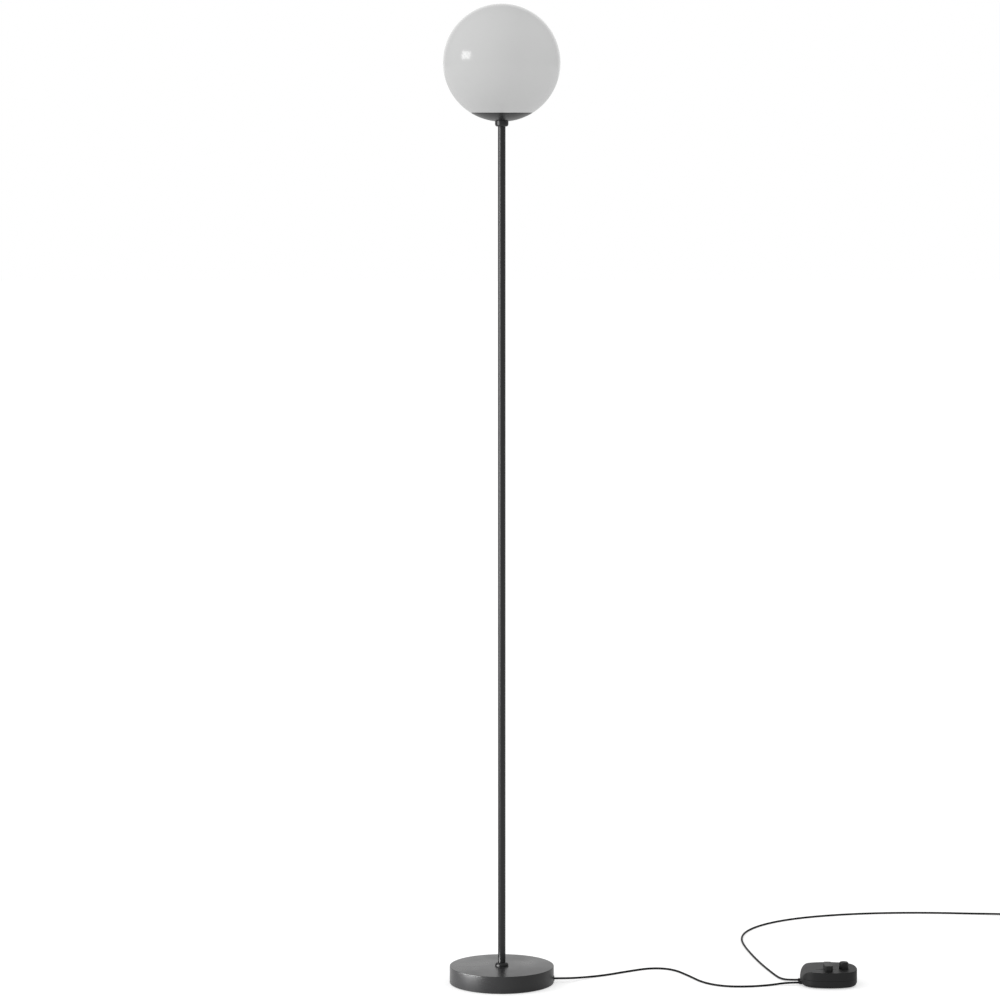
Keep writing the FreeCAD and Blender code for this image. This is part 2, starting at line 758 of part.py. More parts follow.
def nose_cutter(inset):
    """What the roll-down takes off the housing: all that lies outside a quarter ellipse."""
    top = dimmer_top_z - inset
    left = -dimmer_l / 2 + inset
    roll_x = -dimmer_l / 2 + dimmer_nose_l
    roll_z = dimmer_top_z - dimmer_nose_h
    nose = Part.ArcOfEllipse(Part.Ellipse(V(roll_x, 0, top), V(left, 0, roll_z), V(roll_x, 0, roll_z)),
                             0, math.pi / 2).toShape()
    ends = [vertex.Point for vertex in nose.Vertexes]
    high = max(ends, key=lambda point: point.z)
    low = min(ends, key=lambda point: point.z)
    outside = V(low.x - 10, 0, low.z)
    above = V(outside.x, 0, high.z + 10)
    over = V(high.x, 0, above.z)
    cutter = Part.Face(Part.Wire([nose, Part.makePolygon([low, outside, above, over, high])]))
    cutter = cutter.extrude(V(0, dimmer_w + 20, 0))
    cutter.translate(V(0, -dimmer_w / 2 - 10, 0))
    return cutter


def at_dimmer(shape):
    moved = shape.copy()
    moved.translate(V(dimmer_x, dimmer_y, 0))
    return moved


def at_corners(shape, x, y):
    """Four copies of a shape, at plus and minus x and y."""
    copies = []
    for sign_x in (-1, 1):
        for sign_y in (-1, 1):
            copy = shape.copy()
            copy.translate(V(sign_x * x, sign_y * y, 0))
            copies.append(copy)
    return copies


def shell_bottom_z():
    return foot_t - foot_let_in


def entry_sides():
    return (-entry_pitch / 2, entry_pitch / 2)


def make_dimmer_upper_shell():
    bottom = dimmer_split_z + dimmer_split_gap
    body = housing_block(0, bottom, dimmer_top_z)
    rim = [edge for edge in body.Edges if is_deck_edge(edge, bottom)]
    body = body.makeFillet(dimmer_edge_r, rim)
    body = body.cut(housing_block(dimmer_wall, bottom - 1, dimmer_top_z - dimmer_wall))
    inner_deck = dimmer_top_z - dimmer_wall
    bosses = at_corners(rod(boss_d / 2, inner_deck - bottom + 0.5, z=bottom), boss_x, boss_y)
    body = body.fuse(bosses)
    for hole in at_corners(rod(dimmer_screw_d / 2, inner_deck - bottom - 1, z=bottom), boss_x, boss_y):
        body = body.cut(hole)
    slot_low = slider_x - slider_back - lever_l / 2 - running_gap
    slot_high = slider_x + slider_forward + lever_l / 2 + running_gap
    slot = block(slot_high - slot_low, slot_w, 6, (slot_low + slot_high) / 2, slider_y, inner_deck - 1)
    hole = rod(button_d / 2 + running_gap, 6, button_x, button_y, inner_deck - 1)
    return at_dimmer(body.cut(slot).cut(hole))


def is_deck_edge(edge, bottom):
    """The outline of the deck and of its roll-down, and not the housing's upright or lower edges."""
    box = edge.BoundBox
    above = box.ZMin > bottom + 0.01
    upright = box.XLength < 0.01 and box.YLength < 0.01
    across = box.ZLength < 0.01 and box.XLength < 0.01 and box.ZMax > dimmer_top_z - 0.01
    return (above or box.ZMax > dimmer_top_z - 0.01) and not upright and not across


def make_dimmer_lower_shell():
    bottom = shell_bottom_z()
    floor_z = bottom + dimmer_floor_t
    body = housing_block(0, bottom, dimmer_split_z)
    body = body.makeFillet(dimmer_foot_edge_r, [e for e in body.Edges if e.BoundBox.ZMax < bottom + 0.01])
    inner = housing_block(dimmer_wall, floor_z, dimmer_split_z + 1)
    inner = inner.makeFillet(dimmer_foot_edge_r - dimmer_wall,
                             [e for e in inner.Edges if e.BoundBox.ZMax < floor_z + 0.01])
    body = body.cut(inner)
    tongue_z = dimmer_split_z - 1.5
    tongue = housing_block(dimmer_wall + 0.1, tongue_z, tongue_z + 3.0)
    root = housing_block(dimmer_wall - 0.5, tongue_z, dimmer_split_z - 0.1)
    hollow = housing_block(dimmer_wall + 1.1, tongue_z, tongue_z + 3.0)
    body = body.fuse([tongue.cut(hollow), root.cut(hollow)])
    split = dimmer_split_z + dimmer_split_gap
    body = body.fuse(at_corners(rod(boss_d / 2, split - floor_z + 0.5, z=floor_z - 0.5), boss_x, boss_y))
    posts = at_corners(rod(2.5, board_z - floor_z + 0.5, z=floor_z - 0.5), board_l / 2 - 6, board_w / 2 - 4)
    for post in posts:
        post.translate(V(board_x, 0, 0))
    body = body.fuse(posts)
    head_top = bottom + dimmer_screw_head_t + 1.0
    for cut in at_corners(rod(dimmer_screw_head_d / 2 + 0.2, head_top + 1, z=-1), boss_x, boss_y):
        body = body.cut(cut)
    for cut in at_corners(rod(dimmer_screw_d / 2 + 0.2, split, z=0), boss_x, boss_y):
        body = body.cut(cut)
    for cut in at_corners(rod(foot_d / 2 + 0.1, foot_let_in, z=bottom), foot_x, foot_y):
        body = body.cut(cut)
    for side in entry_sides():
        body = body.cut(rod(cord_r + 1.2, 8, -dimmer_l / 2 - 2, side, entry_z, V(1, 0, 0)))
    return at_dimmer(body.removeSplitter())


def make_dimmer_screws():
    bottom = shell_bottom_z()
    head_z = bottom + 1.0
    head_top = head_z + dimmer_screw_head_t
    screw_r = dimmer_screw_d / 2 - 0.05
    end = dimmer_split_z + dimmer_split_gap + 6.0
    head_r = dimmer_screw_head_d / 2
    screw = turned((0, head_z), (head_r - 0.4, head_z), (head_r, head_z + 0.5), (head_r, head_top),
                   (screw_r, head_top), (screw_r, end), (0, end))
    return at_dimmer(group(*at_corners(screw, boss_x, boss_y)))


def make_dimmer_feet():
    bottom_edge = 0.4
    foot = turned((0, 0), (foot_d / 2 - bottom_edge, 0), (foot_d / 2, bottom_edge), (foot_d / 2, foot_t),
                  (0, foot_t))
    return at_dimmer(group(*at_corners(foot, foot_x, foot_y)))


def make_dimmer_grommets():
    grommets = []
    outer_x = -dimmer_l / 2 - 2.5
    for side in entry_sides():
        sleeve = rod(cord_r + 1.1, 2.5 + dimmer_wall + 1.0, outer_x, side, entry_z, V(1, 0, 0))
        bore = rod(cord_r + cord_gap, 20, outer_x - 1, side, entry_z, V(1, 0, 0))
        grommets.append(sleeve.cut(bore))
    return at_dimmer(group(*grommets))


def make_dimmer_clamp():
    """Bar across both cords, screwed to the lower shell."""
    top_z = entry_z + cord_r + 2.6
    bar = block(6.0, entry_pitch + 12.0, top_z - entry_z, -39.5, 0, entry_z)
    for side in entry_sides():
        bar = bar.cut(rod(cord_r + 0.05, 8, -43.5, side, entry_z, V(1, 0, 0)))
    foot_z = shell_bottom_z() + dimmer_floor_t
    foot = block(6.0, entry_pitch - cord_d - 3.0, entry_z - foot_z, -39.5, 0, foot_z)
    return at_dimmer(bar.fuse(foot).removeSplitter())


def make_dimmer_tails():
    """Ends of the two cords inside the housing."""
    tails = []
    length = 16.5
    for side in entry_sides():
        tails.append(rod(cord_r, length, -dimmer_l / 2 - 2.5, side, entry_z, V(1, 0, 0)))
    return at_dimmer(group(*tails))


def make_dimmer_cores():
    """Insulated cores from the cord ends up to the terminal block."""
    start_x = -dimmer_l / 2 - 2.5 + 16.5
    end_x = terminal_x - terminal_l / 2
    top_z = board_z + board_t + terminal_h * 0.4
    cores = []
    for side in entry_sides():
        for offset in (-0.85, 0.85):
            y = side + offset
            end_y = terminal_y + (1 if side > 0 else -1) * 7.0 + offset * 4.0
            points = [(start_x, y, entry_z), (start_x + 1.2, y, entry_z), (start_x + 2.6, y, entry_z + 3.0),
                      (start_x + 3.0, end_y, top_z - 1.0), (end_x - 1.0, end_y, top_z), (end_x, end_y, top_z)]
            cores.append(swept(rounded_path(points)[0], core_wire_d / 2 - 0.1))
    return at_dimmer(group(*cores))


# ---- dimmer controls and electrics --------------------------------------------------------
def make_dimmer_slider():
    bottom = dimmer_top_z + running_gap
    top = dimmer_top_z + slider_h
    cap = block(slider_w, slider_l, top - bottom, slider_x, slider_y, bottom)
    upright = [e for e in cap.Edges if e.BoundBox.ZLength > 1]
    cap = cap.makeFillet(slider_corner_r, upright)
    cap = cap.makeFillet(0.8, [e for e in cap.Edges if e.BoundBox.ZMin > top - 0.01])
    socket = block(lever_l + 0.1, lever_t + 0.1, 6.0, slider_x, slider_y, bottom)
    return at_dimmer(cap.cut(socket))


def lever_foot_z():
    return board_z + board_t + pot_h - 3.0


def make_slider_lever():
    lever = block(lever_l, lever_t, dimmer_top_z + running_gap + 5.8 - lever_foot_z(), slider_x, slider_y,
                  lever_foot_z())
    return at_dimmer(lever)


def make_slide_potentiometer():
    z = board_z + board_t
    centre_x = slider_x + (slider_forward - slider_back) / 2
    body = block(pot_l, pot_w, pot_h, centre_x, slider_y, z)
    travel = slider_back + slider_forward
    slot = block(travel + lever_l + 2 * running_gap, lever_t + 2 * running_gap, 4.0, centre_x, slider_y,
                 lever_foot_z() - running_gap)
    return at_dimmer(body.cut(slot))


def stem_foot_z():
    return board_z + board_t + switch_h + button_travel + 0.6


def make_dimmer_button():
    top = dimmer_top_z + button_h
    under = dimmer_top_z - dimmer_wall - 0.05
    radius = button_d / 2
    button = turned((0, under - button_flange_t), (button_flange_d / 2, under - button_flange_t),
                    (button_flange_d / 2, under), (radius, under), (radius, top - button_round),
                    arc_step(radius - button_round, top - button_round, button_round, 0, 90), (0, top))
    stem = rod(3.0, under - button_flange_t - stem_foot_z(), z=stem_foot_z())
    button = button.fuse(stem).removeSplitter()
    button = button.cut(rod(plunger_d / 2 - 0.5 + 0.05, 3.0, z=stem_foot_z()))
    button.translate(V(button_x, button_y, 0))
    return at_dimmer(button)


def make_switch_plunger():
    foot = board_z + board_t + 0.6
    radius = plunger_d / 2
    plunger = turned((0, foot + button_travel), (radius, foot + button_travel),
                     (radius, stem_foot_z()), (radius - 0.5, stem_foot_z()),
                     (radius - 0.5, stem_foot_z() + 2.5), (0, stem_foot_z() + 2.5))
    plunger.translate(V(button_x, button_y, 0))
    return at_dimmer(plunger)


def make_push_switch():
    z = board_z + board_t
    body = block(switch_w, switch_w, switch_h, button_x, button_y, z)
    return at_dimmer(body.cut(rod(plunger_d / 2 + 0.06, switch_h, button_x, button_y, z + 0.5)))


def make_circuit_board():
    board = block(board_l, board_w, board_t, board_x, 0, board_z)
    return at_dimmer(board)


def make_terminal_block():
    z = board_z + board_t
    body = block(terminal_l, terminal_w, terminal_h, terminal_x, terminal_y, z)
    for index in range(4):
        y = terminal_y + (index - 1.5) * 7.0
        body = body.cut(rod(1.6, 2.5, terminal_x + 1.0, y, z + terminal_h - 2.5))
    return at_dimmer(body)


def make_choke():
    z = board_z + board_t
    core_r = choke_d / 2
    drum = turned((1.5, z), (core_r, z), (core_r, z + 1.2), (core_r - 1.0, z + 1.2),
                  (core_r - 1.0, z + choke_h - 1.2), (core_r, z + choke_h - 1.2), (core_r, z + choke_h),
                  (1.5, z + choke_h))
    drum.translate(V(choke_x, choke_y, 0))
    return at_dimmer(drum)


def make_capacitor():
    body = block(capacitor_l, capacitor_w, capacitor_h, capacitor_x, capacitor_y, board_z + board_t)
    return at_dimmer(body.makeFillet(0.8, [e for e in body.Edges if e.BoundBox.ZMin > board_z + board_t + 1]))


def make_power_stage():
    """Power transistor screwed flat to its aluminium cooling plate."""
    z = board_z + board_t
    sink = block(sink_l, sink_t, sink_h, sink_x, sink_y, z)
    device = block(10.0, 4.5, 9.0, sink_x, sink_y - sink_t / 2 - 2.25, z + 2.0)
    return at_dimmer(sink.fuse(device).removeSplitter())


# ---- coil, tie and plug -------------------------------------------------------------------
def coil_frame():
    """Centre, start angle and outer radius of the coil, taken up where the mains lead ends."""
    before = V(*mains_lead_route[-2])
    end = V(*mains_lead_route[-1])
    heading = math.atan2(end.y - before.y, end.x - before.x)
    start = end + V(math.cos(heading), math.sin(heading), 0) * cord_d
    half_span = coil_pitch * coil_sweep(heading) / (2 * math.pi) / coil_layers
    outer_r = coil_mean_d / 2 + half_span / 2
    centre = start + V(math.sin(heading), -math.cos(heading), 0) * outer_r
    return centre, heading, outer_r, half_span


def coil_sweep(heading):
    """Whole angle of the turns, chosen so that the end of the coil heads along -Y."""
    return 2 * math.pi * coil_turns + math.pi / 2 + heading


def coil_point(angle):
    """Point of the coil's centre line after a turn of angle, clockwise seen from above:
    it spirals in on the lower layer, climbs as it reverses, and spirals out on the upper one."""
    centre, heading, outer_r, span = coil_frame()
    whole = coil_sweep(heading)
    share = angle / whole
    inward = 1 - abs(2 * share - 1)
    radius = outer_r - span * inward
    climb = min(max((angle - whole / 2) / math.pi + 0.5, 0.0), 1.0)
    lift = coil_pitch * (climb - math.sin(2 * math.pi * climb) / (2 * math.pi))
    polar = heading + math.pi / 2 - angle
    return V(centre.x + radius * math.cos(polar), centre.y + radius * math.sin(polar), centre.z + lift)


def coil_heading(angle):
    step = 1e-4
    return (coil_point(angle + step) - coil_point(angle - step)).normalize()


def biarc(start, start_way, end, end_way):
    """Two arcs that leave start and reach end along the given directions, tangent where they meet."""
    chord = end - start
    ways = start_way + end_way
    drift = chord.dot(ways)
    spread = 2 * (1 - start_way.dot(end_way))
    reach = (math.sqrt(drift ** 2 + spread * chord.dot(chord)) - drift) / spread
    first_control = start + start_way * reach
    last_control = end - end_way * reach
    joint = (first_control + last_control) * 0.5
    arcs = []
    for low, control, high in ((start, first_control, joint), (joint, last_control, end)):
        weight = (high - low).Length / (2 * (control - low).Length)
        middle = (low + high + control * (2 * weight)) * (1 / (2 + 2 * weight))
        arcs.append(Part.Arc(low, middle, high).toShape())
    return arcs


def make_mains_coil():
    centre, heading, outer_r, span = coil_frame()
    whole = coil_sweep(heading)
    steps = 4 * coil_turns + 1
    angles = [whole * index / steps for index in range(steps + 1)]
    ways = [coil_heading(angle) for angle in angles]
    ways[0] = V(math.cos(heading), math.sin(heading), 0)
    ways[-1] = V(0, -1, 0)
    points = [coil_point(angle) for angle in angles]
    edges = [Part.LineSegment(points[0] - ways[0] * cord_d, points[0]).toShape()]
    for index in range(steps):
        edges += biarc(points[index], ways[index], points[index + 1], ways[index + 1])
    edges.append(Part.LineSegment(points[-1], points[-1] + ways[-1] * cord_d).toShape())
    wire = Part.Wire(edges)
    tube = swept(wire, cord_r)
    report_coil(wire, tube)
    return tube


def report_coil(wire, tube):
    """Print the coil's length and the least gap between its turns, measured on points."""
    samples = []
    travelled = 0.0
    for edge in wire.Edges:
        count = 6
        for index in range(count):
            at = edge.getParameterByLength(edge.Length * index / count)
            samples.append((travelled + edge.Length * index / count, edge.valueAt(at)))
        travelled += edge.Length
    apart = min((first[1] - last[1]).Length for index, first in enumerate(samples)
                for last in samples[index + 1:] if last[0] - first[0] > 8 * cord_d)
    share = tube.Volume / (math.pi * cord_r ** 2 * travelled)
    print("mains_coil length %.1f" % travelled, "least gap %.2f" % (apart - cord_d),
          "volume / (section x length) %.4f" % share)


def coil_end():
    heading = coil_frame()[1]
    return coil_point(coil_sweep(heading)) + V(0, -cord_d, 0)


def make_coil_tie():
    """Strap round the bundle of turns, on the side away from the plug."""
    centre, heading, outer_r, span = coil_frame()
    gap = 0.5
    low_x = -outer_r - cord_r - gap
    high_x = -outer_r + span + cord_r + gap
    low_z = centre.z - cord_r
    high_z = centre.z + coil_pitch + cord_r + gap
    outer = Part.makeBox(high_x - low_x + 2 * tie_t, tie_w, high_z - low_z + 2 * tie_t,
                         V(low_x - tie_t, -tie_w / 2, low_z - tie_t))
    inner = Part.makeBox(high_x - low_x, tie_w, high_z - low_z, V(low_x, -tie_w / 2, low_z))
    outer = outer.makeFillet(1.6, [e for e in outer.Edges if e.BoundBox.YLength > 1])
    inner = inner.makeFillet(0.8, [e for e in inner.Edges if e.BoundBox.YLength > 1])
    tie = outer.cut(inner)
    tie.translate(V(centre.x, centre.y, 0))
    return tie


def plug_face_y():
    return coil_end().y - plug_relief_l - plug_l


def make_plug_relief():
    end = coil_end()
    taper = Part.makeCone(cord_r + 0.7, plug_relief_d / 2, plug_relief_l, V(0, 0, 0), V(0, -1, 0))
    grooves = []
    for index in range(3):
        y = -plug_relief_l * (0.3 + 0.2 * index)
        radius = cord_r + 0.7 + (plug_relief_d / 2 - cord_r - 0.7) * (-y / plug_relief_l)
        grooves.append(Part.makeCylinder(radius + 1, 1.2, V(0, y, 0), V(0, -1, 0)).cut(
            Part.makeCylinder(radius - 0.7, 1.2, V(0, y, 0), V(0, -1, 0))))
    relief = taper.cut(Part.makeCompound(grooves))
    relief.translate(end)
    return relief


def make_plug_body():
    end = coil_end()
    tail_y = -plug_relief_l
    half_tail = plug_tail_w / 2
    half_grip = plug_grip_w / 2
    half_face = plug_w / 2
    points = [V(half_tail, tail_y, 0), V(half_grip, tail_y - plug_l * 0.45, 0),
              V(half_grip, tail_y - plug_l * 0.72, 0), V(half_face, tail_y - plug_l, 0)]
    mirrored = [V(-point.x, point.y, 0) for point in reversed(points)]
    outline = Part.makePolygon(points + mirrored + points[:1])
    body = Part.Face(outline).extrude(V(0, 0, plug_t))
    body.translate(V(0, 0, -plug_t / 2))
    body = body.makeFillet(plug_edge_r, [e for e in body.Edges if e.BoundBox.ZLength < 0.01
                                         and e.BoundBox.YLength > 1])
    body.translate(V(end.x, end.y, plug_t / 2))
    return body


def make_plug_pins():
    end = coil_end()
    face_y = plug_face_y()
    pins = []
    for side in (-1, 1):
        pin = turned((0, 0), (pin_d / 2, 0), (pin_d / 2, pin_l - pin_tip_round),
                     arc_step(pin_d / 2 - pin_tip_round, pin_l - pin_tip_round, pin_tip_round, 0, 90),
                     (0, pin_l))
        pin.rotate(V(0, 0, 0), V(1, 0, 0), 90)
        pin.translate(V(end.x + side * pin_pitch / 2, face_y, plug_t / 2))
        pins.append(pin)
    return group(*pins)


# ---- build --------------------------------------------------------------------------------
NODES = {
    "base_disc": make_base_disc,
    "base_pad": make_base_pad,
    "base_cover": make_base_cover,
    "base_cover_screws": make_cover_screws,
    "base_washer": make_base_washer,
    "base_nut": make_base_nut,
    "base_cord_grommet": make_base_grommet,
    "cord_clamp": make_cord_clamp,
    "cord_clamp_screws": make_clamp_screws,
    "pole": make_pole,
    "foot_collar": make_foot_collar,
    "head_collar": make_head_collar,
    "collar_grub_screw": make_grub_screw,
    "foot_stud": make_foot_stud,
    "head_stud": make_head_stud,
    "globe_cap": make_globe_cap,
    "cap_washer": make_cap_washer,
    "cap_nut": make_cap_nut,
    "glass_gasket": make_glass_gasket,
    "glass_globe": make_glass_globe,
    "clip_plate": make_clip_plate,
    "glass_clips": make_glass_clips,
    "clip_rivets": make_clip_rivets,
    "holder_base": make_holder_base,
    "holder_core": make_holder_core,
    "holder_sleeve": make_holder_sleeve,
    "holder_screw_shell": make_screw_shell,
    "holder_centre_contact": make_centre_contact,
    "holder_wires": make_holder_wires,
    "bulb_cap": make_bulb_cap,
    "bulb_contact": make_bulb_contact,
    "bulb_body": make_bulb_body,
    "bulb_dome": make_bulb_dome,
    "inner_cable": make_inner_cable,
    "dimmer_upper_shell": make_dimmer_upper_shell,
    "dimmer_lower_shell": make_dimmer_lower_shell,
    "dimmer_screws": make_dimmer_screws,
    "dimmer_feet": make_dimmer_feet,
    "dimmer_grommets": make_dimmer_grommets,
    "dimmer_clamp": make_dimmer_clamp,
    "dimmer_cord_tails": make_dimmer_tails,
    "dimmer_cores": make_dimmer_cores,
    "dimmer_slider": make_dimmer_slider,
    "slider_lever": make_slider_lever,
    "slide_potentiometer": make_slide_potentiometer,
    "dimmer_button": make_dimmer_button,
    "switch_plunger": make_switch_plunger,
    "push_switch": make_push_switch,
    "circuit_board": make_circuit_board,
    "terminal_block": make_terminal_block,
    "choke": make_choke,
    "capacitor": make_capacitor,
    "power_stage": make_power_stage,
    "lamp_lead": lambda: cord("lamp_lead", lamp_lead_route, cord_r),
    "mains_lead": lambda: cord("mains_lead", mains_lead_route, cord_r),
    "mains_coil": make_mains_coil,
    "coil_tie": make_coil_tie,
    "plug_relief": make_plug_relief,
    "plug_body": make_plug_body,
    "plug_pins": make_plug_pins,
}

os.makedirs("parts", exist_ok=True)
for node, make in NODES.items():
    shape = make()
    if not shape.isValid() or not shape.Solids:
        print("check the shape of", node)
    shape.exportStep("parts/" + node + ".step")
print(len(NODES), "nodes")
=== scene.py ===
import math

import bmesh
import bpy
from mathutils import Matrix, Vector


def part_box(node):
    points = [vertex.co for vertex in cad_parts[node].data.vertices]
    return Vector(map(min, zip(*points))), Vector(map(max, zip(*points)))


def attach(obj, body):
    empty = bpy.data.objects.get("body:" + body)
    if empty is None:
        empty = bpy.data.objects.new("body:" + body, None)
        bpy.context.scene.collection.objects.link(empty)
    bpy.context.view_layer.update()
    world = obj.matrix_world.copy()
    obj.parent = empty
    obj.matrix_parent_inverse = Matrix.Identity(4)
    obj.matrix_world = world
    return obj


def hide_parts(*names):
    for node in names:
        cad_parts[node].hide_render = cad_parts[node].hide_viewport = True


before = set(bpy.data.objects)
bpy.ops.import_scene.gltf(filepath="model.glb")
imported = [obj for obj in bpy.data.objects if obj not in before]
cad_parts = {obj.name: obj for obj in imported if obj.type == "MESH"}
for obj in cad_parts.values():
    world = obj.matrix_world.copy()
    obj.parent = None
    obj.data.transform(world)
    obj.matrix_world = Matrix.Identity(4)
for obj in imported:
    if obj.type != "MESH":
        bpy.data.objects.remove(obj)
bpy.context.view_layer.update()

# Globe floor lamp with an in-line foot dimmer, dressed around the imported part. Metres, +Z up.

# ---- camera ----------------------------------------------------------------------------------
# Fitted to the photograph. It looks a little down, and its frame is shifted only slightly, so that views
# from other sides keep the whole lamp.
CAMERA_AT = (0.00492, -6.42027, 1.47225)
CAMERA_DOWN = math.radians(3.9688)
CAMERA_LENS = 135.495
CAMERA_SENSOR = 36.0
CAMERA_SHIFT_X = -0.00461
CAMERA_SHIFT_Y = -0.11
CAMERA_REACH = 100.0

# ---- cords ----------------------------------------------------------------------------------
CORD_D = 0.0036
CORD_RESOLUTION = 12         # steps from one point of a cord to the next
CORD_ROUNDNESS = 6
LAMP_LEAD = [
    (0.0910, 0.0000, 0.0074), (0.1170, 0.0000, 0.0074), (0.1480, 0.0310, 0.0024), (0.1820, 0.0500, 0.0018),
    (0.2180, 0.0770, 0.0018), (0.2620, 0.1060, 0.0018), (0.3000, 0.0960, 0.0018), (0.3250, 0.0460, 0.0018),
    (0.3470, -0.0080, 0.0018), (0.3810, -0.0370, 0.0018), (0.4250, -0.0390, 0.0018),
    (0.4630, -0.0270, 0.0018), (0.4920, -0.0190, 0.0043), (0.5125, -0.0190, 0.0043)]
MAINS_LEAD = [
    (0.5125, 0.0020, 0.0043), (0.5005, 0.0020, 0.0043), (0.4895, 0.0092, 0.0033), (0.4805, 0.0310, 0.0018),
    (0.4715, 0.0700, 0.0018), (0.4615, 0.1180, 0.0018), (0.4520, 0.1720, 0.0018), (0.4440, 0.2280, 0.0018),
    (0.4375, 0.2840, 0.0018), (0.4350, 0.3400, 0.0018), (0.4430, 0.3920, 0.0018), (0.4640, 0.4400, 0.0018),
    (0.4980, 0.4830, 0.0018), (0.5430, 0.5180, 0.0018), (0.5960, 0.5430, 0.0018), (0.6530, 0.5600, 0.0018),
    (0.7110, 0.5695, 0.0018), (0.7700, 0.5725, 0.0018), (0.8290, 0.5705, 0.0018), (0.8840, 0.5645, 0.0018),
    (0.9300, 0.5580, 0.0026), (0.9660, 0.5520, 0.0026)]
COIL_CENTRE = (0.964768, 0.522709, 0.0026)
COIL_OUTER_R = 0.029095
COIL_SPAN = 0.014989
COIL_PITCH = 0.00415
COIL_TURNS = 7
COIL_STEPS = 20              # points in a turn
COIL_TAIL = 0.009            # straight end, into the plug's relief

# ---- forms that follow the frame's sizes ----------------------------------------------------
BASE_EDGE = 0.0008
PAD_T = 0.002
PAD_GAP = 0.0005
COLLAR_ROUND = 0.0042
POLE_WALL = 0.0012
POLE_FIT = 0.0001             # from the pole to the collar's bore
CAP_T = 0.002
CAP_FLOOR_T = 0.0025
CAP_EDGE = 0.0004
CAP_EDGE_DRAWN_IN = 0.4       # how far the broken edge comes in, in parts of its height
GLASS_T = 0.003
STUD_HOLE_R = 0.0051
POCKET_R = 0.040
POCKET_ROOF_Z = 0.018
DIMMER_SIDE_R = 0.090
DIMMER_CORNER_R = 0.028
DIMMER_WALL = 0.002
DIMMER_EDGE = 0.0016
DIMMER_FOOT_EDGE = 0.006
DIMMER_NOSE_L = 0.016
DIMMER_NOSE_H = 0.020
DIMMER_FLOOR_T = 0.0016
PARTING_GAP = 0.0004
TONGUE_FIT = 0.0001
TONGUE_T = 0.001
SLOT_AT = (-0.006, -0.014)   # middle of the slot, from the middle of the housing
SLOT_SIZE = (0.0346, 0.0016)
BUTTON_AT = (0.0256, -0.0075)
BUTTON_HOLE_R = 0.0083
BUTTON_EDGE = 0.0026
BUTTON_GAP = 0.0003           # from the button to its hole
BUTTON_STEM_R = 0.003
BUTTON_FLANGE_T = 0.0015
BUTTON_FLANGE_GAP = 0.00005
PLUNGER_HOLE_R = 0.00155
PLUNGER_HOLE_H = 0.003
SLIDER_CORNER = 0.004
SLIDER_EDGE = 0.0008
LEVER_HOLE_HALF = (0.00205, 0.00055)
LEVER_HOLE_H = 0.006
BOSS_AT = (0.031, 0.028)
SCREW_HOLE_R = 0.0026
SCREW_HOLE_H = 0.0028
ENTRY_R = 0.003
ENTRY_Z = 0.0043
ENTRY_AT = (-0.0105, 0.0105)
ENTRY_L = 0.010

# ---- mesh work ------------------------------------------------------------------------------
SHARP_FROM = math.radians(35)     # edges from this angle on are shaded sharp
ROUNDED_FROM = math.radians(25)   # and from this one on they can be rounded
FLAT_WITHIN = math.radians(0.5)
MERGE_WITHIN = 1e-7
AT_HEIGHT = 0.0001                # two heights that differ by less are one
NOT_LEVEL = 0.001
PAST = 0.001                      # how far a cutting form runs past a face
NOSE_PAST = 0.01
FACE_AREA_WEIGHT = 50


# ---- meshes ---------------------------------------------------------------------------------
def lines_to(points, *more):
    """One profile from single points and lists of points."""
    out = list(points)
    for part in more:
        out += part if isinstance(part, list) else [part]
    return out


def arc(centre_r, centre_z, radius, start, end, steps=8):
    """Points of an arc in the radius-height plane, angles in degrees from the outward direction."""
    out = []
    for i in range(steps + 1):
        angle = math.radians(start + (end - start) * i / steps)
        out.append((centre_r + radius * math.cos(angle), centre_z + radius * math.sin(angle)))
    return out


def smooth(piece):
    piece.data.shade_smooth()
    piece.data.set_sharp_from_angle(angle=SHARP_FROM)


def add_object(name, bm):
    bmesh.ops.recalc_face_normals(bm, faces=bm.faces)
    mesh = bpy.data.meshes.new(name)
    bm.to_mesh(mesh)
    bm.free()
    piece = bpy.data.objects.new(name, mesh)
    smooth(piece)
    bpy.context.scene.collection.objects.link(piece)
    return piece


def lathe(name, profile, segments, x=0.0, y=0.0):
    """Solid turned about an upright axis from a closed profile of (radius, height) points."""
    bm = bmesh.new()
    rings = []
    for radius, height in profile:
        if radius < MERGE_WITHIN:
            rings.append([bm.verts.new((x, y, height))])
            continue
        ring = []
        for i in range(segments):
            angle = 2 * math.pi * i / segments
            ring.append(bm.verts.new((x + radius * math.cos(angle), y + radius * math.sin(angle), height)))
        rings.append(ring)
    for low, high in zip(rings, rings[1:] + rings[:1]):
        if len(low) == 1 and len(high) == 1:
            continue
        for i in range(segments):
            j = (i + 1) % segments
            corners = [low[i % len(low)], low[j % len(low)], high[j % len(high)], high[i % len(high)]]
            bm.faces.new(dict.fromkeys(corners))
    return add_object(name, bm)


def prism(name, outline, bottom, top):
    """Upright prism on a closed outline of (x, y) points."""
    bm = bmesh.new()
    low = [bm.verts.new((x, y, bottom)) for x, y in outline]
    high = [bm.verts.new((x, y, top)) for x, y in outline]
    bm.faces.new(low)
    bm.faces.new(high)
    for i in range(len(outline)):
        j = (i + 1) % len(outline)
        bm.faces.new((low[i], low[j], high[j], high[i]))
    return add_object(name, bm)


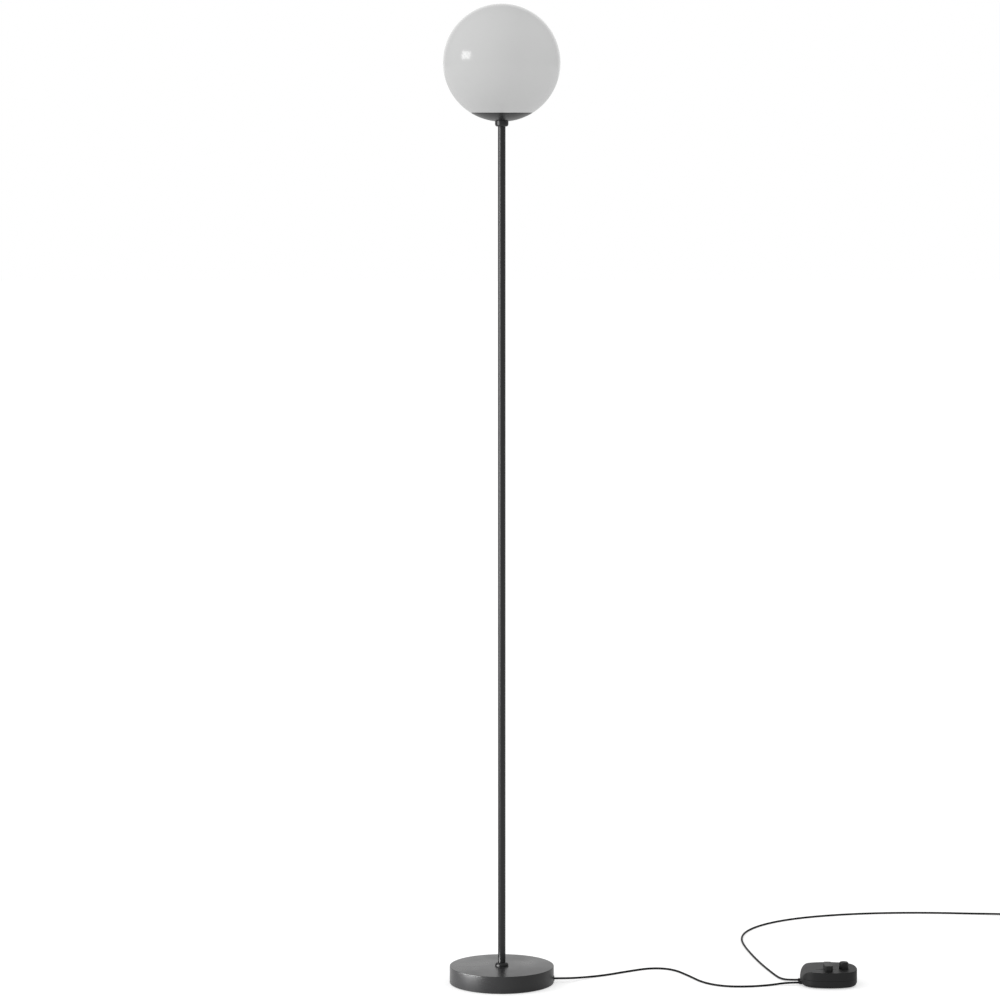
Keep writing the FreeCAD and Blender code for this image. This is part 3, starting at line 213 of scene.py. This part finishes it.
def cut(piece, *tools):
    """Takes the tools' forms off a piece and removes the tools."""
    for tool in tools:
        modifier = piece.modifiers.new("cut", "BOOLEAN")
        modifier.operation = "DIFFERENCE"
        modifier.solver = "EXACT"
        modifier.object = tool
    graph = bpy.context.evaluated_depsgraph_get()
    mesh = bpy.data.meshes.new_from_object(piece.evaluated_get(graph))
    piece.modifiers.clear()
    old = piece.data
    piece.data = mesh
    bpy.data.meshes.remove(old)
    mesh.name = piece.name
    for tool in tools:
        bpy.data.meshes.remove(tool.data)
    return piece


def round_edges(piece, wanted, width, segments):
    """Rounds the sharp edges for which wanted(first, second) holds."""
    bm = bmesh.new()
    bm.from_mesh(piece.data)
    bmesh.ops.remove_doubles(bm, verts=bm.verts, dist=MERGE_WITHIN)
    bmesh.ops.dissolve_limit(bm, angle_limit=FLAT_WITHIN, verts=bm.verts, edges=bm.edges)
    chosen = []
    for edge in bm.edges:
        if len(edge.link_faces) == 2 and edge.calc_face_angle() > ROUNDED_FROM:
            if wanted(edge.verts[0].co, edge.verts[1].co):
                chosen.append(edge)
    bmesh.ops.bevel(bm, geom=chosen, offset=width, offset_type="OFFSET", segments=segments, profile=0.5,
                    affect="EDGES", clamp_overlap=False)
    bm.to_mesh(piece.data)
    bm.free()
    smooth(piece)


def flatten_shading(piece):
    """Large flat faces keep their own shading beside the rounded edges."""
    weighted = piece.modifiers.new("weighted", "WEIGHTED_NORMAL")
    weighted.keep_sharp = True
    weighted.weight = FACE_AREA_WEIGHT


def soft_square(length, width, inset, steps=16):
    """Outline of the dimmer: four bowed sides joined by four tangent corner arcs, drawn in by inset."""
    side_x = Vector((length / 2 - DIMMER_SIDE_R, 0))
    side_y = Vector((0, width / 2 - DIMMER_SIDE_R))
    reach = DIMMER_SIDE_R - DIMMER_CORNER_R
    between = side_x - side_y
    across = Vector((between.y, -between.x)).normalized()
    corner = (side_x + side_y) / 2 + across * math.sqrt(reach ** 2 - (between.length / 2) ** 2)
    joint_x = math.atan2(corner.y - side_x.y, corner.x - side_x.x)
    joint_y = math.atan2(corner.y - side_y.y, corner.x - side_y.x)
    quarter = []
    for i in range(steps):
        angle = joint_x * i / steps
        quarter.append(side_x + Vector((math.cos(angle), math.sin(angle))) * (DIMMER_SIDE_R - inset))
    for i in range(steps):
        angle = joint_x + (joint_y - joint_x) * i / steps
        quarter.append(corner + Vector((math.cos(angle), math.sin(angle))) * (DIMMER_CORNER_R - inset))
    for i in range(steps):
        angle = joint_y + (math.pi / 2 - joint_y) * i / steps
        quarter.append(side_y + Vector((math.cos(angle), math.sin(angle))) * (DIMMER_SIDE_R - inset))
    top = [(p.x, p.y) for p in quarter] + [(0.0, width / 2 - inset)]
    left = [(-x, y) for x, y in reversed(top[:-1])]
    half = top + left
    return half + [(x, -y) for x, y in reversed(half[1:-1])]


# ---- materials ------------------------------------------------------------------------------
GRAIN_STRENGTH = 0.35
GRAIN_DETAIL = 3.0
SLOW_SCALE = 14.0
SLOW_DETAIL = 4.0
NOISE_LOW = 0.3
NOISE_HIGH = 0.7
LEAST_ROUGHNESS = 0.02


def material(name, colour, roughness, metallic=0.0, grain=400.0, grain_depth=0.00002, wear=0.05,
             tone=0.06, stretch=(1, 1, 1), **sockets):
    """Principled material with a fine surface grain, a slow change of gloss and a slight change of tone.

    A depth of 0 leaves the grain out. Sockets of the shader are named with _ for a space.
    """
    made = bpy.data.materials.new(name)
    made.use_nodes = True
    tree = made.node_tree
    shader = tree.nodes["Principled BSDF"]
    shader.inputs["Metallic"].default_value = metallic
    for socket, value in sockets.items():
        shader.inputs[socket.replace("_", " ")].default_value = value
    place = tree.nodes.new("ShaderNodeTexCoord")
    scaled = tree.nodes.new("ShaderNodeMapping")
    scaled.inputs["Scale"].default_value = stretch
    tree.links.new(place.outputs["Object"], scaled.inputs["Vector"])

    if grain_depth:
        fine = tree.nodes.new("ShaderNodeTexNoise")
        fine.inputs["Scale"].default_value = grain
        fine.inputs["Detail"].default_value = GRAIN_DETAIL
        tree.links.new(scaled.outputs["Vector"], fine.inputs["Vector"])
        bump = tree.nodes.new("ShaderNodeBump")
        bump.inputs["Strength"].default_value = GRAIN_STRENGTH
        bump.inputs["Distance"].default_value = grain_depth
        tree.links.new(fine.outputs["Fac"], bump.inputs["Height"])
        tree.links.new(bump.outputs["Normal"], shader.inputs["Normal"])

    slow = tree.nodes.new("ShaderNodeTexNoise")
    slow.inputs["Scale"].default_value = SLOW_SCALE
    slow.inputs["Detail"].default_value = SLOW_DETAIL
    tree.links.new(scaled.outputs["Vector"], slow.inputs["Vector"])
    gloss = tree.nodes.new("ShaderNodeMapRange")
    gloss.inputs["From Min"].default_value = NOISE_LOW
    gloss.inputs["From Max"].default_value = NOISE_HIGH
    gloss.inputs["To Min"].default_value = max(roughness - wear, LEAST_ROUGHNESS)
    gloss.inputs["To Max"].default_value = roughness + wear
    tree.links.new(slow.outputs["Fac"], gloss.inputs["Value"])
    tree.links.new(gloss.outputs["Result"], shader.inputs["Roughness"])

    ramp = tree.nodes.new("ShaderNodeValToRGB")
    darker, lighter = ramp.color_ramp.elements
    darker.position = NOISE_LOW
    darker.color = [c * (1 - tone) for c in colour] + [1]
    lighter.position = NOISE_HIGH
    lighter.color = [min(c * (1 + tone), 1) for c in colour] + [1]
    tree.links.new(slow.outputs["Fac"], ramp.inputs["Fac"])
    tree.links.new(ramp.outputs["Color"], shader.inputs["Base Color"])
    return made


PAINT = material("satin_black_paint", (0.011, 0.011, 0.0115), 0.30, grain=900, grain_depth=0.00001,
                 Specular_IOR_Level=0.46)
OPAL = material("opal_glass", (0.735, 0.738, 0.735), 0.16, grain_depth=0, wear=0.02,
                tone=0.01, Specular_IOR_Level=0.4)
PVC = material("black_cord_sheath", (0.007, 0.007, 0.0075), 0.55, grain=1200, grain_depth=0.00003,
               Specular_IOR_Level=0.2)
HOUSING = material("moulded_housing", (0.010, 0.010, 0.0105), 0.5, grain=1600, grain_depth=0.00003,
                   Specular_IOR_Level=0.3)
KNOB = material("moulded_controls", (0.011, 0.011, 0.0115), 0.45, grain=1600, grain_depth=0.00003,
                Specular_IOR_Level=0.28)
RUBBER = material("black_rubber", (0.014, 0.014, 0.014), 0.7, grain=800, grain_depth=0.00004)
STEEL = material("zinc_plated_steel", (0.55, 0.55, 0.56), 0.32, metallic=1.0, grain=500, stretch=(1, 1, 4))
BRASS = material("nickelled_brass", (0.62, 0.56, 0.45), 0.28, metallic=1.0, grain=500)
COPPER = material("copper_winding", (0.60, 0.27, 0.15), 0.35, metallic=1.0, grain=900, stretch=(1, 1, 9))
THERMOPLAST = material("holder_thermoplastic", (0.02, 0.02, 0.02), 0.4, grain=700)
CERAMIC = material("glazed_ceramic", (0.72, 0.71, 0.68), 0.2, grain=200, tone=0.02)
FROST = material("frosted_bulb", (0.80, 0.80, 0.79), 0.5, grain=300, tone=0.01)
BULB_BODY = material("bulb_shell", (0.75, 0.75, 0.74), 0.35, grain=400, tone=0.02)
BOARD = material("circuit_board", (0.03, 0.14, 0.06), 0.45, grain=300, tone=0.2)
PART_GREY = material("component_bodies", (0.10, 0.10, 0.11), 0.45, grain=500)
FILM = material("film_capacitor", (0.45, 0.20, 0.05), 0.3, grain=300)
SLEEVE = material("wire_sleeves", (0.25, 0.13, 0.06), 0.45, grain=600, tone=0.3)
FELT = material("base_pad_foam", (0.03, 0.03, 0.03), 0.9, grain=350, grain_depth=0.0002)

NODE_MATERIALS = {
    "base_pad": FELT, "base_cover": STEEL, "base_cover_screws": STEEL, "base_washer": STEEL,
    "base_nut": BRASS,
    "base_cord_grommet": RUBBER, "cord_clamp": THERMOPLAST, "cord_clamp_screws": STEEL,
    "collar_grub_screw": STEEL, "foot_stud": BRASS, "head_stud": BRASS, "cap_washer": STEEL,
    "cap_nut": BRASS,
    "glass_gasket": RUBBER, "clip_plate": STEEL, "glass_clips": STEEL, "clip_rivets": STEEL,
    "holder_base": THERMOPLAST, "holder_core": CERAMIC, "holder_sleeve": THERMOPLAST,
    "holder_screw_shell": BRASS, "holder_centre_contact": BRASS, "holder_wires": SLEEVE, "bulb_cap": BRASS,
    "bulb_contact": BRASS, "bulb_body": BULB_BODY, "bulb_dome": FROST, "inner_cable": PVC,
    "dimmer_screws": STEEL, "dimmer_feet": RUBBER, "dimmer_grommets": RUBBER, "dimmer_clamp": THERMOPLAST,
    "dimmer_cord_tails": PVC, "dimmer_cores": SLEEVE, "slider_lever": THERMOPLAST,
    "slide_potentiometer": PART_GREY, "switch_plunger": THERMOPLAST, "push_switch": PART_GREY,
    "circuit_board": BOARD, "terminal_block": PART_GREY, "choke": COPPER, "capacitor": FILM,
    "power_stage": PART_GREY, "coil_tie": RUBBER, "plug_relief": PVC, "plug_body": PVC, "plug_pins": BRASS,
}


def finish_piece(piece, made_of, *nodes, body="lamp"):
    piece.data.materials.clear()
    piece.data.materials.append(made_of)
    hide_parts(*nodes)
    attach(piece, body)
    return piece


# ---- camera and cords -----------------------------------------------------------------------
def make_camera():
    data = bpy.data.cameras.new("camera")
    data.lens = CAMERA_LENS
    data.sensor_width = CAMERA_SENSOR
    data.shift_x = CAMERA_SHIFT_X
    data.shift_y = CAMERA_SHIFT_Y
    data.clip_end = CAMERA_REACH
    camera = bpy.data.objects.new("camera", data)
    camera.location = CAMERA_AT
    camera.rotation_euler = (math.pi / 2 - CAMERA_DOWN, 0, 0)
    bpy.context.scene.collection.objects.link(camera)
    bpy.context.scene.camera = camera


def nurbs_cord(name, points):
    curve = bpy.data.curves.new(name, "CURVE")
    curve.dimensions = "3D"
    curve.bevel_depth = CORD_D / 2
    curve.bevel_resolution = CORD_ROUNDNESS
    curve.resolution_u = CORD_RESOLUTION
    curve.use_fill_caps = True
    spline = curve.splines.new("NURBS")
    spline.points.add(len(points) - 1)
    for point, place in zip(spline.points, points):
        point.co = (*place, 1.0)
    spline.order_u = 3
    spline.use_endpoint_u = True
    spline.resolution_u = CORD_RESOLUTION
    piece = bpy.data.objects.new(name, curve)
    bpy.context.scene.collection.objects.link(piece)
    return piece


def coil_points():
    """The stored length: round and round inwards, out again one cord higher, and straight to the plug."""
    start, end = MAINS_LEAD[-2], MAINS_LEAD[-1]
    heading = math.atan2(end[1] - start[1], end[0] - start[0])
    whole = 2 * math.pi * COIL_TURNS + math.pi / 2 + heading
    count = round(whole / (2 * math.pi) * COIL_STEPS)
    points = []
    for i in range(count + 1):
        angle = whole * i / count
        inward = 1 - abs(2 * angle / whole - 1)
        radius = COIL_OUTER_R - COIL_SPAN * inward
        climb = min(max((angle - whole / 2) / math.pi + 0.5, 0), 1)
        lift = COIL_PITCH * (climb - math.sin(2 * math.pi * climb) / (2 * math.pi))
        polar = heading + math.pi / 2 - angle
        points.append((COIL_CENTRE[0] + radius * math.cos(polar), COIL_CENTRE[1] + radius * math.sin(polar),
                       COIL_CENTRE[2] + lift))
    last = points[-1]
    return points + [(last[0], last[1] - COIL_TAIL / 2, last[2]), (last[0], last[1] - COIL_TAIL, last[2])]


def make_cords():
    lamp = nurbs_cord("lamp_cord", LAMP_LEAD)
    finish_piece(lamp, PVC, "lamp_lead")
    mains = nurbs_cord("mains_cord", MAINS_LEAD + coil_points())
    finish_piece(mains, PVC, "mains_lead", "mains_coil")


# ---- the lamp -------------------------------------------------------------------------------
def make_base():
    low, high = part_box("base_disc")
    radius = high.x
    seat_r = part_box("base_pad")[1].x + PAD_GAP
    profile = lines_to([(STUD_HOLE_R, high.z)],
                       arc(radius - BASE_EDGE, high.z - BASE_EDGE, BASE_EDGE, 90, 0),
                       arc(radius - BASE_EDGE, low.z + BASE_EDGE, BASE_EDGE, 0, -90, steps=4),
                       (seat_r, low.z), (seat_r, PAD_T), (POCKET_R, PAD_T), (POCKET_R, POCKET_ROOF_Z),
                       (STUD_HOLE_R, POCKET_ROOF_Z))
    finish_piece(lathe("base_disc_turned", profile, segments=192), PAINT, "base_disc")


def make_pole():
    low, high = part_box("pole")
    inner = high.x - POLE_WALL
    profile = [(inner, low.z), (high.x, low.z), (high.x, high.z), (inner, high.z)]
    finish_piece(lathe("pole_tube", profile, segments=96), PAINT, "pole")


def make_collars():
    foot, head = (corner.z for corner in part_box("pole"))
    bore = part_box("pole")[1].x + POLE_FIT
    low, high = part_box("foot_collar")
    profile = lines_to([(STUD_HOLE_R, low.z), (high.x, low.z)],
                       arc(high.x - COLLAR_ROUND, high.z - COLLAR_ROUND, COLLAR_ROUND, 0, 90, steps=12),
                       (bore, high.z), (bore, foot), (STUD_HOLE_R, foot))
    finish_piece(lathe("foot_collar_turned", profile, segments=96), PAINT, "foot_collar")
    low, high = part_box("head_collar")
    profile = lines_to([(STUD_HOLE_R, high.z), (high.x, high.z)],
                       arc(high.x - COLLAR_ROUND, low.z + COLLAR_ROUND, COLLAR_ROUND, 0, -90, steps=12),
                       (bore, low.z), (bore, head), (STUD_HOLE_R, head))
    finish_piece(lathe("head_collar_turned", profile, segments=96), PAINT, "head_collar")


def globe_centre():
    """Height of the globe's centre, and its radius."""
    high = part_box("glass_globe")[1]
    return high.z - high.x, high.x


def sphere_arc(centre_z, radius, start_z, end_z, steps):
    """Points of a sphere's outline between two heights."""
    start = math.degrees(math.asin(max(min((start_z - centre_z) / radius, 1), -1)))
    end = math.degrees(math.asin(max(min((end_z - centre_z) / radius, 1), -1)))
    return arc(0, centre_z, radius, start, end, steps)


def make_cap():
    low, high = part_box("globe_cap")
    centre_z, radius = globe_centre()
    floor = low.z + CAP_FLOOR_T
    outer = sphere_arc(centre_z, radius, low.z, high.z - CAP_EDGE, steps=24)
    inner = sphere_arc(centre_z, radius - CAP_T, high.z, floor, steps=24)
    rim_r = outer[-1][0] - CAP_EDGE * CAP_EDGE_DRAWN_IN
    profile = lines_to([(STUD_HOLE_R, low.z)], outer, (rim_r, high.z), inner, (STUD_HOLE_R, floor))
    finish_piece(lathe("globe_cap_spun", profile, segments=160), PAINT, "globe_cap")


def make_globe():
    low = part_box("glass_globe")[0]
    centre_z, radius = globe_centre()
    top = centre_z + radius
    outer = sphere_arc(centre_z, radius, low.z, top, steps=72)
    inner = sphere_arc(centre_z, radius - GLASS_T, top - GLASS_T, low.z, steps=48)
    profile = lines_to(outer[:-1], (0, top), (0, top - GLASS_T), inner[1:])
    finish_piece(lathe("opal_globe", profile, segments=192), OPAL, "glass_globe")


# ---- the dimmer -----------------------------------------------------------------------------
def dimmer_middle():
    """The middle of the dimmer on the floor, its length and its width."""
    low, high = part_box("dimmer_upper_shell")
    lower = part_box("dimmer_lower_shell")[0]
    right, width = high.x, high.y - low.y
    return Vector(((lower.x + right) / 2, (low.y + high.y) / 2, 0)), right - lower.x, width


def nose_tool(length, width, inset, top, steps=36):
    """What the roll-down takes off: all outside a quarter ellipse that is drawn across the housing."""
    roll_x = -length / 2 + DIMMER_NOSE_L
    roll_z = top - DIMMER_NOSE_H
    curve = []
    for i in range(steps + 1):
        angle = math.pi / 2 * i / steps
        curve.append((roll_x - (DIMMER_NOSE_L - inset) * math.cos(angle),
                      roll_z + (DIMMER_NOSE_H - inset) * math.sin(angle)))
    out = -length / 2 - NOSE_PAST
    section = curve + [(roll_x, top + NOSE_PAST), (out, top + NOSE_PAST), (out, roll_z)]
    bm = bmesh.new()
    near = [bm.verts.new((x, -width, z)) for x, z in section]
    far = [bm.verts.new((x, width, z)) for x, z in section]
    bm.faces.new(near)
    bm.faces.new(far)
    for i in range(len(section)):
        j = (i + 1) % len(section)
        bm.faces.new((near[i], near[j], far[j], far[i]))
    return add_object("nose_tool", bm)


def housing(name, length, width, inset, bottom, top, deck):
    """The dimmer's form, drawn in by inset, between two heights."""
    body = prism(name, soft_square(length, width, inset), bottom, top)
    return cut(body, nose_tool(length, width, inset, deck))


def post(radius, bottom, top, x, y, segments=48):
    turns = [2 * math.pi * i / segments for i in range(segments)]
    outline = [(x + radius * math.cos(turn), y + radius * math.sin(turn)) for turn in turns]
    return prism("post", outline, bottom, top)


def slab(x0, x1, y0, y1, bottom, top, name="slab"):
    return prism(name, [(x0, y0), (x1, y0), (x1, y1), (x0, y1)], bottom, top)


def roll_height(x, length, deck):
    """Height of the deck, which rolls down to the cord end on a quarter ellipse."""
    reach = (-length / 2 + DIMMER_NOSE_L - x) / DIMMER_NOSE_L
    if reach <= 0:
        return deck
    return deck - DIMMER_NOSE_H * (1 - math.sqrt(1 - min(reach, 1) ** 2))


def rolled_top(name, length, width, bottom, deck, steps=6):
    """The housing's outer form with its rounded top edge, in rings that narrow towards the deck."""
    bm = bmesh.new()
    rings = [[bm.verts.new((x, y, bottom)) for x, y in soft_square(length, width, 0)]]
    for i in range(steps + 1):
        angle = math.pi / 2 * i / steps
        inset = DIMMER_EDGE * (1 - math.cos(angle))
        drop = DIMMER_EDGE * (1 - math.sin(angle))
        rings.append([bm.verts.new((x, y, roll_height(x, length, deck) - drop))
                      for x, y in soft_square(length, width, inset)])
    count = len(rings[0])
    for low, high in zip(rings, rings[1:]):
        for i in range(count):
            j = (i + 1) % count
            bm.faces.new((low[i], low[j], high[j], high[i]))
    bm.faces.new(rings[0])
    top = rings[-1]
    for i in range(count // 2):
        bm.faces.new(dict.fromkeys((top[i], top[i + 1], top[count - i - 1], top[-i])))
    return add_object(name, bm)


def make_dimmer_upper():
    middle, length, width = dimmer_middle()
    low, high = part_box("dimmer_upper_shell")
    deck = high.z
    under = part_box("dimmer_lower_shell")[0].z
    body = rolled_top("dimmer_top", length, width, under, deck)
    below = slab(-length, length, -width, width, under - PAST, low.z)
    hollow = housing("hollow", length, width, DIMMER_WALL, low.z - PAST, deck - DIMMER_WALL, deck)
    x, y = SLOT_AT
    slot_l, slot_w = SLOT_SIZE
    through = (deck - 2 * DIMMER_WALL, deck + DIMMER_WALL)
    slot = slab(x - slot_l / 2, x + slot_l / 2, y - slot_w / 2, y + slot_w / 2, *through)
    hole = post(BUTTON_HOLE_R, *through, *BUTTON_AT)
    cut(body, below, hollow, slot, hole)
    smooth(body)
    body.data.transform(Matrix.Translation(middle))
    flatten_shading(body)
    finish_piece(body, HOUSING, "dimmer_upper_shell")


def make_dimmer_lower():
    middle, length, width = dimmer_middle()
    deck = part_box("dimmer_upper_shell")[1].z
    low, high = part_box("dimmer_lower_shell")
    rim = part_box("dimmer_upper_shell")[0].z - PARTING_GAP
    body = housing("dimmer_bottom", length, width, 0, low.z, rim, deck)
    round_edges(body, lambda a, b: max(a.z, b.z) < low.z + AT_HEIGHT, DIMMER_FOOT_EDGE, segments=8)
    tongue_inset = DIMMER_WALL + TONGUE_FIT
    tongue = housing("tongue", length, width, tongue_inset, rim - PAST, high.z, deck)
    hollow = housing("hollow", length, width, tongue_inset + TONGUE_T, low.z + DIMMER_FLOOR_T,
                     high.z + PAST, deck)
    tools = [hollow]
    for side in ENTRY_AT:
        entry = post(ENTRY_R, 0, ENTRY_L, 0, 0, segments=32)
        entry.data.transform(Matrix.Translation((-length / 2 - DIMMER_WALL, side, ENTRY_Z)) @
                             Matrix.Rotation(math.pi / 2, 4, "Y"))
        tools.append(entry)
    for sign_x in (-1, 1):
        for sign_y in (-1, 1):
            tools.append(post(SCREW_HOLE_R, -PAST, low.z + SCREW_HOLE_H, sign_x * BOSS_AT[0],
                              sign_y * BOSS_AT[1], segments=32))
    join = body.modifiers.new("tongue", "BOOLEAN")
    join.operation = "UNION"
    join.solver = "EXACT"
    join.object = tongue
    cut(body, *tools)
    bpy.data.meshes.remove(tongue.data)
    smooth(body)
    body.data.transform(Matrix.Translation(middle))
    flatten_shading(body)
    finish_piece(body, HOUSING, "dimmer_lower_shell")


def make_slider():
    low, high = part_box("dimmer_slider")
    body = slab(low.x, high.x, low.y, high.y, low.z, high.z, "slider_bar")
    round_edges(body, lambda a, b: abs(a.z - b.z) > NOT_LEVEL, SLIDER_CORNER, segments=8)
    round_edges(body, lambda a, b: min(a.z, b.z) > high.z - AT_HEIGHT, SLIDER_EDGE, segments=4)
    x, y = (low.x + high.x) / 2, (low.y + high.y) / 2
    half_l, half_w = LEVER_HOLE_HALF
    cut(body, slab(x - half_l, x + half_l, y - half_w, y + half_w, low.z - PAST, low.z + LEVER_HOLE_H))
    smooth(body)
    flatten_shading(body)
    finish_piece(body, KNOB, "dimmer_slider", body="slider")


def make_button():
    low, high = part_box("dimmer_button")
    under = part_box("dimmer_upper_shell")[1].z - DIMMER_WALL - BUTTON_FLANGE_GAP
    x, y = (low.x + high.x) / 2, (low.y + high.y) / 2
    flange_r = (high.x - low.x) / 2
    radius = BUTTON_HOLE_R - BUTTON_GAP
    flange_z = under - BUTTON_FLANGE_T
    profile = lines_to([(PLUNGER_HOLE_R, low.z), (BUTTON_STEM_R, low.z), (BUTTON_STEM_R, flange_z),
                        (flange_r, flange_z), (flange_r, under), (radius, under)],
                       arc(radius - BUTTON_EDGE, high.z - BUTTON_EDGE, BUTTON_EDGE, 0, 90), (0, high.z),
                       (0, low.z + PLUNGER_HOLE_H), (PLUNGER_HOLE_R, low.z + PLUNGER_HOLE_H))
    button = lathe("button_cap", profile, segments=72, x=x, y=y)
    finish_piece(button, KNOB, "dimmer_button", body="button")


def dress_nodes():
    for name, made_of in NODE_MATERIALS.items():
        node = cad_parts[name]
        node.data.materials.clear()
        node.data.materials.append(made_of)


# ---- floor, background and light ------------------------------------------------------------
FLOOR_SIZE = 60.0
FLOOR_COLOUR = 0.80
FLOOR_ROUGHNESS = 0.9
FLOOR_GLOW = 0.47             # lifts the white floor to the white of the background
FLOOR_GLOW_REFLECTED = 0.12
WORLD_SEEN = 1.0
WORLD_LIGHT = 0.74
WORLD_BEHIND = 1.0            # what gloss shows of the pale backdrop behind the lamp
WORLD_ASIDE = 0.45            # and of the darker room at the sides and in front
BACKDROP_FROM = 0.78          # between these parts of straight back, one goes over into the other
BACKDROP_TO = 0.95
WINDOW_FROM = (-0.944, -0.264, 0.199)
WINDOW_DISTANCE = 3.0
# place, aim, width and height, watts
SOFTBOX_RIGHT = ((3.2, -2.4, 2.4), (0.2, 0, 0.8), (1.6, 1.6), 9)
STRIP_TALL = ((-2.49, -1.29, 0.86), (0, 0, 0.86), (1.6, 1.7), 62)
STRIP_LOW = ((-0.84, -0.28, 0.15), (0, 0, 0.05), (0.7, 0.3), 30)
WINDOW_SIZE = (1.1, 0.6)
WINDOW_WATTS = 17
DARK_PIECES = ("base_disc_turned", "pole_tube", "foot_collar_turned", "head_collar_turned",
               "globe_cap_spun", "dimmer_top", "dimmer_bottom", "slider_bar", "button_cap", "lamp_cord",
               "mains_cord")


def ray_sum(tree, *rays):
    """1 for the named kinds of ray, 0 for others."""
    path = tree.nodes.new("ShaderNodeLightPath")
    total = path.outputs[rays[0]]
    for ray in rays[1:]:
        add = tree.nodes.new("ShaderNodeMath")
        add.operation = "MAXIMUM"
        tree.links.new(total, add.inputs[0])
        tree.links.new(path.outputs[ray], add.inputs[1])
        total = add.outputs[0]
    return total


def make_floor():
    bm = bmesh.new()
    bmesh.ops.create_grid(bm, x_segments=1, y_segments=1, size=FLOOR_SIZE / 2)
    floor = add_object("floor", bm)
    made = bpy.data.materials.new("floor_white")
    made.use_nodes = True
    tree = made.node_tree
    shader = tree.nodes["Principled BSDF"]
    shader.inputs["Base Color"].default_value = (FLOOR_COLOUR, FLOOR_COLOUR, FLOOR_COLOUR, 1)
    shader.inputs["Roughness"].default_value = FLOOR_ROUGHNESS
    shader.inputs["Specular IOR Level"].default_value = 0.0
    shader.inputs["Emission Color"].default_value = (1, 1, 1, 1)
    seen = tree.nodes.new("ShaderNodeMath")
    seen.operation = "MULTIPLY"
    seen.inputs[1].default_value = FLOOR_GLOW
    tree.links.new(ray_sum(tree, "Is Camera Ray"), seen.inputs[0])
    glow = tree.nodes.new("ShaderNodeMath")
    glow.operation = "MULTIPLY_ADD"
    glow.inputs[1].default_value = FLOOR_GLOW_REFLECTED
    tree.links.new(ray_sum(tree, "Is Glossy Ray", "Is Transmission Ray"), glow.inputs[0])
    tree.links.new(seen.outputs[0], glow.inputs[2])
    tree.links.new(glow.outputs[0], shader.inputs["Emission Strength"])
    floor.data.materials.append(made)


def make_world():
    world = bpy.data.worlds.new("studio")
    world.use_nodes = True
    bpy.context.scene.world = world
    tree = world.node_tree
    tree.nodes.clear()
    out = tree.nodes.new("ShaderNodeOutputWorld")
    light = tree.nodes.new("ShaderNodeBackground")
    light.inputs["Color"].default_value = (1, 1, 1, 1)
    reflected = tree.nodes.new("ShaderNodeMix")
    reflected.inputs["A"].default_value = WORLD_LIGHT
    way = tree.nodes.new("ShaderNodeTexCoord")
    split = tree.nodes.new("ShaderNodeSeparateXYZ")
    tree.links.new(way.outputs["Generated"], split.inputs["Vector"])
    backdrop = tree.nodes.new("ShaderNodeMapRange")
    backdrop.inputs["From Min"].default_value = BACKDROP_FROM
    backdrop.inputs["From Max"].default_value = BACKDROP_TO
    backdrop.inputs["To Min"].default_value = WORLD_ASIDE
    backdrop.inputs["To Max"].default_value = WORLD_BEHIND
    tree.links.new(split.outputs["Y"], backdrop.inputs["Value"])
    tree.links.new(backdrop.outputs["Result"], reflected.inputs["B"])
    tree.links.new(ray_sum(tree, "Is Glossy Ray", "Is Transmission Ray"), reflected.inputs["Factor"])
    seen = tree.nodes.new("ShaderNodeMix")
    seen.inputs["B"].default_value = WORLD_SEEN
    tree.links.new(reflected.outputs["Result"], seen.inputs["A"])
    tree.links.new(ray_sum(tree, "Is Camera Ray"), seen.inputs["Factor"])
    tree.links.new(seen.outputs["Result"], light.inputs["Strength"])
    tree.links.new(light.outputs["Background"], out.inputs["Surface"])


def area_light(name, place, aim, size, watts, in_gloss=True):
    data = bpy.data.lights.new(name, "AREA")
    data.shape = "RECTANGLE"
    data.size, data.size_y = size
    data.energy = watts
    lamp = bpy.data.objects.new(name, data)
    lamp.location = place
    lamp.rotation_euler = (Vector(aim) - Vector(place)).to_track_quat("-Z", "Y").to_euler()
    lamp.visible_glossy = in_gloss
    bpy.context.scene.collection.objects.link(lamp)
    return lamp


def light_only(lamp, group, names):
    """The lamp lights these pieces and no others, and isn't seen itself."""
    receivers = bpy.data.collections.new(group)
    for name in names:
        receivers.objects.link(bpy.data.objects[name])
    lamp.light_linking.receiver_collection = receivers
    lamp.visible_camera = False


def make_lights():
    centre = Vector((0, 0, globe_centre()[0]))
    window = centre + Vector(WINDOW_FROM) * WINDOW_DISTANCE
    area_light("window", window, centre, WINDOW_SIZE, WINDOW_WATTS)
    area_light("softbox_right", *SOFTBOX_RIGHT, in_gloss=False)
    light_only(area_light("strip_tall", *STRIP_TALL), "dark_pieces", DARK_PIECES)
    light_only(area_light("strip_low", *STRIP_LOW), "base_disc_alone", ["base_disc_turned"])


bpy.context.scene.view_settings.view_transform = "Standard"
make_camera()
make_cords()
make_base()
make_pole()
make_collars()
make_cap()
make_globe()
make_dimmer_upper()
make_dimmer_lower()
make_slider()
make_button()
dress_nodes()
make_floor()
make_world()
make_lights()
